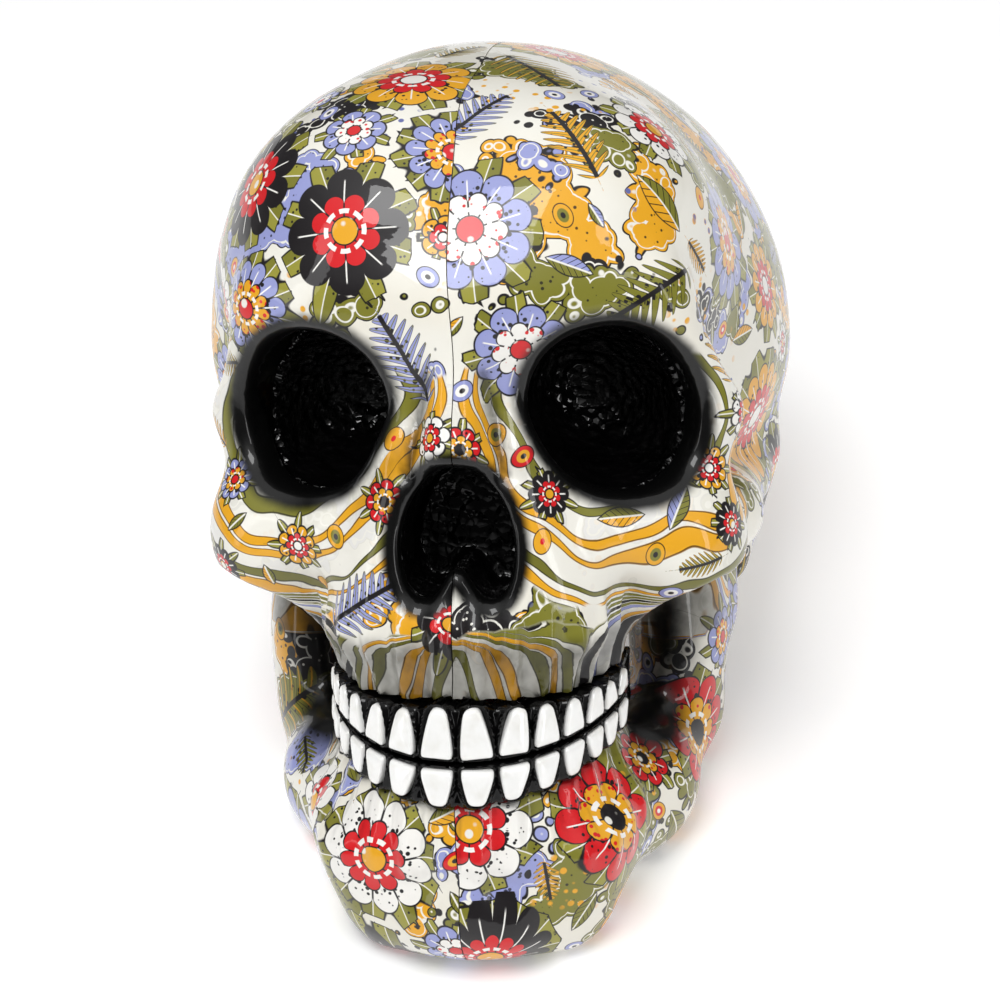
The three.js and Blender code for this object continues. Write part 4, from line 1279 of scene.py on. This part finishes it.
    # Black paint sprayed round the sockets, the nose and the gums, with painted shade in the recesses, in
    # the hollows between the root ridges, in the nasal furrows and over the upper roots
    spray_and_shade_cover = (spray_and_shade + (patch_a - 0.5) * 0.25 + (grain - 0.5) * 0.16).above(0.3, 0.92)
    colour = colour_mix(tree, spray_and_shade_cover, colour, srgb(6, 6, 6))
    tree.links.new(colour, shader.inputs["Base Color"])
    add_bump(tree, shader, grain.socket, 0.00006)
    return material


# Gloss black, enamel and rubber

def black_material(name, kind, scale, depth, coat_index):
    """Gloss black paint over lumps of a texture's kind, scale and depth."""
    material, tree, shader, place = gloss_material(name, 0.5, 0.85, 0.04)
    shader.inputs["Coat IOR"].default_value = coat_index
    shader.inputs["Specular IOR Level"].default_value = 0.0
    cloud = noise(tree, place, Scale=120, Detail=3)
    colour = colour_mix(tree, cloud.above(0.3, 0.8), srgb(2, 2, 2), srgb(9, 8, 9))
    tree.links.new(colour, shader.inputs["Base Color"])
    add_bump(tree, shader, texture(tree, kind, place, Scale=scale).outputs[0], depth)
    return material


def enamel_material():
    material, tree, shader, place = gloss_material("tooth_enamel", 0.2, 0.8, 0.06)
    cloud = noise(tree, place, Scale=240, Detail=2)
    colour = colour_mix(tree, cloud.above(0.4, 0.8), srgb(242, 242, 240), srgb(232, 231, 226))
    tree.links.new(colour, shader.inputs["Base Color"])
    add_bump(tree, shader, noise(tree, place, Scale=480, Detail=2).socket, 0.00008)
    return material


def rubber_material(name, dark, pale):
    material, tree, shader, place = gloss_material(name, 0.72, 0.0, 0.1)
    cloud = noise(tree, place, Scale=420, Detail=4)
    colour = colour_mix(tree, cloud.above(0.35, 0.75), dark, pale)
    tree.links.new(colour, shader.inputs["Base Color"])
    add_bump(tree, shader, cloud.socket, 0.0002)
    return material


FILM = film_material()
GUM_BLACK = black_material("gum_black", "ShaderNodeTexNoise", 300, 0.00008, 1.36)
CUP_BLACK = black_material("cup_black", "ShaderNodeTexVoronoi", 480, 0.0006, 1.6)
NOSE_BLACK = black_material("nose_black", "ShaderNodeTexVoronoi", 480, 0.0004, 1.34)
ENAMEL = enamel_material()
STOPPER_RUBBER = rubber_material("stopper_rubber", srgb(34, 33, 32), srgb(58, 56, 54))
PAD_RUBBER = rubber_material("pad_rubber", srgb(28, 27, 27), srgb(46, 45, 44))


# Castings as printed halves

def add_castings():
    castings = (
        ("skull_shell", shell_field, skull_field, SHELL_BOX, SEED),
        ("jaw_half", mandible_field, jaw_field, JAW_BOX, SEED + 10),
    )
    for name, field, bone, box, seed in castings:
        vertices, quads = skin(field, *box, CAST_STEP)
        for side, sign in SIDES:
            mesh = half_mesh(f"{side}_{name}_skin", vertices, quads, sign)
            print_film(mesh, bone, seed + sign)
            finish_piece(mesh, FILM, [f"{side}_{name}"])


# Cups with hammered backs

def hammered(vertices, field, weight, seed):
    """Raises a pattern of rounded lumps where the weight is above 0."""
    chance = np.random.default_rng(seed)
    low = vertices.min(0)
    high = vertices.max(0)
    count = int(np.prod((high - low) / LUMP_SIZE) * 1.3)
    middles = chance.uniform(low, high, (count, 3))
    nearest = np.full(len(vertices), 1e9)
    for middle in middles:
        nearest = np.minimum(nearest, ((vertices - middle) ** 2).sum(1))
    height = LUMP_HEIGHT * (1 - np.clip(np.sqrt(nearest) / LUMP_SIZE, 0, 1) ** 2)
    level, slope = slopes(field, vertices)
    slope /= np.maximum(np.linalg.norm(slope, axis=1), 0.1)[:, None]
    return vertices + slope * (height * weight)[:, None]


def add_cups():
    vertices, quads = skin(socket_cup_field, *SOCKET_BOX, CUP_STEP)
    inner = ramp(-np.abs(socket_field(vertices, 0)), *LUMP_WALL)
    back = ramp(vertices[:, 1], *SOCKET_LUMP_SPAN)
    vertices = hammered(vertices, socket_cup_field, inner * back, SEED)
    for side, sign in SIDES:
        places = vertices * (sign, 1, 1)
        faces = quads if sign > 0 else quads[:, ::-1]
        mesh = bare_mesh(f"{side}_socket_lining", places, faces)
        finish_piece(mesh, CUP_BLACK, [f"{side}_socket_cup"])

    vertices, quads = skin(nose_cup_field, *NOSE_BOX, CUP_STEP)
    inner = ramp(-np.abs(nose_field(vertices, -NOSE_WALL, NOSE_BACK_Y)), *LUMP_WALL)
    back = ramp(vertices[:, 1], *NOSE_LUMP_SPAN)
    vertices = hammered(vertices, nose_cup_field, inner * back, SEED + 1)
    mesh = bare_mesh("nose_lining", vertices, quads)
    finish_piece(mesh, NOSE_BLACK, ["nose_cup"])


# Teeth

def tooth_outline(width, height):
    """A shield around the middle of its biting edge: straight edge, soft corners and a round root end."""
    half = width / 2
    corner = 0.2 * width
    shoulder = (half * TOOTH_SHOULDER_SHARE, height * (1 - TOOTH_TIP_SHARE))
    side = np.concatenate([
        bezier((half - corner, 0), (half, 0), (half, 0), (half, corner), 5),
        bezier((half, corner), (half * 0.94, height * 0.36), (half * 0.78, height * 0.62), shoulder, 6),
        bezier(shoulder, (half * 0.54, height * 0.96), (half * 0.36, height), (0, height), 8),
        [(0, height)],
    ])
    other = side[-2::-1] * (-1, 1)
    return np.concatenate([side, other])


# Rings of a tooth from its root to its face: scale of the outline, and share of how far it stands proud
TOOTH_RINGS = (
    (1.0, -0.5), (1.0, 0.45), (0.975, 0.75), (0.92, 0.93), (0.8, 1.04), (0.55, 1.13), (0.25, 1.17))


def tooth_mesh(name, sign, upper, index, chance):
    width = TOOTH_WIDTHS[index] + chance.uniform(-0.1, 0.3)
    heights = UPPER_TOOTH_HEIGHTS if upper else LOWER_TOOTH_HEIGHTS
    height = heights[index] + chance.uniform(-0.25, 0.15)
    outline = tooth_outline(width, height)
    count = len(outline)
    middle = np.array([0, 0.48 * height])
    tilt = chance.uniform(-0.07, 0.07)
    skew = chance.uniform(-0.12, 0.12)
    outline[:, 0] += skew * outline[:, 1]
    rings = []
    for scale, proud in TOOTH_RINGS:
        flat = (outline - middle) * scale
        flat = np.stack([flat[:, 0] - tilt * flat[:, 1], flat[:, 1] + tilt * flat[:, 0]], 1) + middle
        rings.append(np.column_stack([flat, np.full(count, proud * TOOTH_PROUD)]))
    rings.append(np.array([[*middle, TOOTH_RINGS[-1][1] * TOOTH_PROUD]]))
    local = np.concatenate(rings)

    turn = turn_at(TOOTH_CENTRES[index])
    x, y = arch_point(turn, 0)
    tangent = np.array([ARCH_HALF_WIDTH * math.cos(turn), ARCH_DEPTH * math.sin(turn)])
    tangent /= np.linalg.norm(tangent)
    outward = np.array([tangent[1], -tangent[0]])
    flat = np.array([x, y]) + local[:, :1] * tangent + local[:, 2:] * outward
    way = 1 if upper else -1
    bite = BITE_Z + BITE_RISE * (flat[:, 1] - ARCH_FRONT_Y)
    heights = bite + way * (TOOTH_BITE_GAP + local[:, 1])
    places = np.column_stack([sign * flat[:, 0], flat[:, 1], heights])

    faces = tube_faces(len(TOOTH_RINGS), count)
    top = (len(TOOTH_RINGS) - 1) * count
    faces += [(top + step, top + (step + 1) % count, len(places) - 1) for step in range(count)]
    faces.append(tuple(reversed(range(count))))
    if sign * way < 0:
        faces = [tuple(reversed(face)) for face in faces]
    return polygon_mesh(name, places.tolist(), faces)


def add_teeth():
    chance = np.random.default_rng(SEED)
    for row, upper in (("upper", True), ("lower", False)):
        for side, sign in SIDES:
            for index in range(len(TOOTH_WIDTHS)):
                node = f"{row}_{side}_tooth_{index + 1}"
                mesh = tooth_mesh(f"{node}_shield", sign, upper, index, chance)
                finish_piece(mesh, ENAMEL, [node], sharp=75)


# Gums with scalloped lips around the teeth

GUM_STATIONS = 321
GUM_ROWS = 30
GUM_LIP = 1.1
GUM_LIP_MIDDLE = 0.6
GUM_LIP_WIDTH = 0.5


def gum_mesh(name, upper):
    heights = UPPER_TOOTH_HEIGHTS if upper else LOWER_TOOTH_HEIGHTS
    total = ARCH_LENGTHS[-1]
    lengths = np.linspace(-total, total, GUM_STATIONS)
    turns = turn_at(lengths)
    x, y = arch_point(turns, 0)
    bite = BITE_Z + BITE_RISE * (y - ARCH_FRONT_Y)
    edge = UPPER_GUM_EDGE if upper else LOWER_GUM_EDGE
    tall = np.interp(np.abs(lengths), ARCH_LENGTHS, edge) - FIT_GAP / 2
    share = np.linspace(0, 1, GUM_ROWS)
    rise = FIT_GAP / 2 + share[None, :] * tall[:, None]
    flat = np.stack([np.broadcast_to(lengths[:, None], rise.shape), rise], -1).reshape(-1, 2)
    near = np.full(len(flat), 9.0)
    for sign in (1, -1):
        for index, centre in enumerate(TOOTH_CENTRES):
            outline = tooth_outline(TOOTH_WIDTHS[index], heights[index])
            shifted = outline * (sign, 1) + (sign * centre, TOOTH_BITE_GAP)
            near = np.minimum(near, outline_distance(flat, shifted[::sign]))
    near = near.reshape(rise.shape)
    growth = GUM_LIP * np.exp(-((near - GUM_LIP_MIDDLE) / GUM_LIP_WIDTH) ** 2)
    growth = growth - 0.5 * ramp(-near, 0, 0.6)
    border = np.minimum(rise, tall[:, None] - rise + FIT_GAP / 2)
    growth -= 0.35 * (1 - ramp(border, 0, 0.7)) ** 2
    growth += 0.12 * np.sin(lengths / 1.7)[:, None] * np.sin(rise / 1.3)
    way = 1 if upper else -1
    face_x, face_y = arch_point(turns[:, None], growth)
    face = np.stack([face_x, face_y, bite[:, None] + way * rise], -1)
    inner_x, inner_y = arch_point(turns, -GUM_THICKNESS)
    far = np.stack([inner_x, inner_y, bite + way * rise[:, -1]], -1)[:, None]
    close = np.stack([inner_x, inner_y, bite + way * rise[:, 0]], -1)[:, None]
    rings = np.concatenate([face, far, close], 1)
    count = rings.shape[1]
    faces = [(a, d, c, b) for a, b, c, d in tube_faces(GUM_STATIONS, count)]
    faces.append(tuple(range(count)))
    faces.append(tuple(reversed(range((GUM_STATIONS - 1) * count, GUM_STATIONS * count))))
    if not upper:
        faces = [tuple(reversed(face)) for face in faces]
    return polygon_mesh(name, rings.reshape(-1, 3).tolist(), faces)


def add_gums():
    for row, upper in (("upper", True), ("lower", False)):
        mesh = gum_mesh(f"{row}_gum_band", upper)
        finish_piece(mesh, GUM_BLACK, [f"{row}_gum"])


# Stopper and pads

ROUND_STEPS = 64
STOPPER_LIP = 3
STOPPER_LIP_RADIUS = 14
STOPPER_KNOB = 3
STOPPER_KNOB_RADIUS = 4
STOPPER_REACH = 10
STOPPER_TAPER = 0.6
STOPPER_ROUND = 0.8
PAD_ROUND = 0.0004


def lathe_mesh(name, profile):
    """A closed solid of revolution around z from radius, height pairs that start and end on the axis."""
    turns = np.linspace(0, 2 * math.pi, ROUND_STEPS, endpoint=False)
    places = [(0, 0, profile[0][1])]
    for radius, height in profile[1:-1]:
        places += [(radius * math.cos(turn), radius * math.sin(turn), height) for turn in turns]
    places.append((0, 0, profile[-1][1]))
    rings = len(profile) - 2
    faces = tube_faces(rings, ROUND_STEPS, 1)
    last = 1 + (rings - 1) * ROUND_STEPS
    for step in range(ROUND_STEPS):
        ahead = (step + 1) % ROUND_STEPS
        faces.append((0, 1 + ahead, 1 + step))
        faces.append((last + step, last + ahead, len(places) - 1))
    return polygon_mesh(name, places, faces)


def rounded(profile, radius):
    """A profile with its inner corners cut into short curves."""
    points = [np.array(point, float) for point in profile]
    made = [points[0]]
    for before, point, after in zip(points, points[1:], points[2:]):
        reach_in = min(radius, 0.45 * np.linalg.norm(point - before))
        reach_out = min(radius, 0.45 * np.linalg.norm(after - point))
        start = point + reach_in * (before - point) / np.linalg.norm(before - point)
        end = point + reach_out * (after - point) / np.linalg.norm(after - point)
        made += list(bezier(start, (start + 2 * point) / 3, (end + 2 * point) / 3, end, 4)) + [end]
    made.append(points[-1])
    return [tuple(point) for point in made]


def add_stopper():
    lip_top = HOLE_SEAT_Z - FIT_GAP
    lip_low = lip_top - STOPPER_LIP
    knob = lip_low - STOPPER_KNOB
    top = HOLE_SEAT_Z + STOPPER_REACH
    plug = HOLE_RADIUS - FIT_GAP
    profile = [
        (0, knob), (STOPPER_KNOB_RADIUS, knob), (STOPPER_KNOB_RADIUS, lip_low),
        (STOPPER_LIP_RADIUS, lip_low), (STOPPER_LIP_RADIUS, lip_top),
        (plug, lip_top), (plug - STOPPER_TAPER, top), (0, top),
    ]
    mesh = lathe_mesh("base_stopper_plug", rounded(profile, STOPPER_ROUND))
    move_vertices(mesh, vertices_of(mesh) + (0, HOLE_Y, 0))
    finish_piece(mesh, STOPPER_RUBBER, ["base_stopper"], body="stopper", sharp=60)


def add_pads():
    for row in ("front", "rear"):
        for side, sign in SIDES:
            node = f"{row}_{side}_pad"
            low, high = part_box(node)
            radius = (high.x - low.x) / 2
            profile = [(0, low.z), (radius, low.z), (radius, high.z), (0, high.z)]
            mesh = lathe_mesh(f"{node}_foot", rounded(profile, PAD_ROUND))
            middle = (low + high) / 2
            mesh.transform(Matrix.Translation((middle.x, middle.y, 0)))
            add_piece(mesh, PAD_RUBBER, [node])


add_castings()
add_cups()
add_gums()
add_teeth()
add_stopper()
add_pads()


# Camera

CAMERA_TARGET = (0, -20, 0)
CAMERA_AZIMUTH = math.radians(8)
CAMERA_ELEVATION = math.radians(7)
CAMERA_ROLL = math.radians(-0.8)
CAMERA_DISTANCE = 650
PHOTO_SIZE = 1000
FOCAL_PIXELS = 2720
PRINCIPAL_X = 504.5
PRINCIPAL_Y = 464.5
SENSOR = 36


def make_camera():
    a, e = CAMERA_AZIMUTH, CAMERA_ELEVATION
    back = np.array([math.sin(a) * math.cos(e), -math.cos(a) * math.cos(e), math.sin(e)])
    level = np.array([math.cos(a), math.sin(a), 0.0])
    upright = np.cross(back, level)
    right = level * math.cos(CAMERA_ROLL) + upright * math.sin(CAMERA_ROLL)
    up = upright * math.cos(CAMERA_ROLL) - level * math.sin(CAMERA_ROLL)
    data = bpy.data.cameras.new("camera")
    data.sensor_width = SENSOR
    data.lens = SENSOR * FOCAL_PIXELS / PHOTO_SIZE
    data.shift_x = (PHOTO_SIZE / 2 - PRINCIPAL_X) / PHOTO_SIZE
    data.shift_y = (PRINCIPAL_Y - PHOTO_SIZE / 2) / PHOTO_SIZE
    data.clip_start = 0.01
    camera = bpy.data.objects.new("camera", data)
    bpy.context.scene.collection.objects.link(camera)
    matrix = np.eye(4)
    matrix[:3, :3] = leaned(np.stack([right, up, back])).T
    matrix[:3, 3] = to_frame(np.array(CAMERA_TARGET) + back * CAMERA_DISTANCE)
    camera.matrix_world = Matrix(matrix.tolist())
    bpy.context.scene.camera = camera


make_camera()


# Floor and light

TOP_GLOW = 0.95
ALL_ROUND_GLOW = 0.07


def make_world():
    world = bpy.data.worlds.new("studio")
    world.use_nodes = True
    tree = world.node_tree
    light = tree.nodes["Background"]
    light.inputs["Color"].default_value = (1, 1, 1, 1)
    way = tree.nodes.new("ShaderNodeTexCoord").outputs["Generated"]
    glow = split_vector(tree, way)[2].above(0.35, 1.0) * TOP_GLOW + ALL_ROUND_GLOW
    tree.links.new(glow.socket, light.inputs["Strength"])
    backdrop = tree.nodes.new("ShaderNodeBackground")
    backdrop.inputs["Color"].default_value = (1, 1, 1, 1)
    backdrop.inputs["Strength"].default_value = 1.0
    mix = tree.nodes.new("ShaderNodeMixShader")
    seen = tree.nodes.new("ShaderNodeLightPath")
    tree.links.new(seen.outputs["Is Camera Ray"], mix.inputs[0])
    tree.links.new(light.outputs[0], mix.inputs[1])
    tree.links.new(backdrop.outputs[0], mix.inputs[2])
    tree.links.new(mix.outputs[0], tree.nodes["World Output"].inputs["Surface"])
    bpy.context.scene.world = world


FLOOR_REACH = 3.0
LIGHT_TARGET = Vector((0, -0.02, 0.08))


def make_floor():
    corners = [(x * FLOOR_REACH, y * FLOOR_REACH, 0) for x, y in ((-1, -1), (1, -1), (1, 1), (-1, 1))]
    mesh = polygon_mesh("floor", corners, [(0, 1, 2, 3)])
    material = bpy.data.materials.new("floor_white")
    material.use_nodes = True
    shader = material.node_tree.nodes["Principled BSDF"]
    shader.inputs["Base Color"].default_value = (0.94, 0.94, 0.94, 1)
    shader.inputs["Roughness"].default_value = 0.7
    shader.inputs["Emission Color"].default_value = (1, 1, 1, 1)
    shader.inputs["Emission Strength"].default_value = 0.22
    mesh.materials.append(material)
    floor = bpy.data.objects.new("floor", mesh)
    bpy.context.scene.collection.objects.link(floor)


def softbox(name, place, width, height, power):
    """A rectangular area light that faces the middle of the skull."""
    lamp = bpy.data.lights.new(name, "AREA")
    lamp.shape = "RECTANGLE"
    lamp.size = width
    lamp.size_y = height
    lamp.energy = power
    box = bpy.data.objects.new(name, lamp)
    box.location = place
    box.rotation_euler = (LIGHT_TARGET - Vector(place)).to_track_quat("-Z", "Y").to_euler()
    bpy.context.scene.collection.objects.link(box)


make_world()
make_floor()
softbox("key_box", (-0.1, -0.5, 1.12), 0.5, 0.5, 7.0)
softbox("right_box", (0.78, -0.6, 0.42), 0.14, 0.8, 1.8)
softbox("left_box", (-0.78, -0.55, 0.42), 0.14, 0.8, 1.0)
bpy.context.scene.view_settings.view_transform = "Standard"
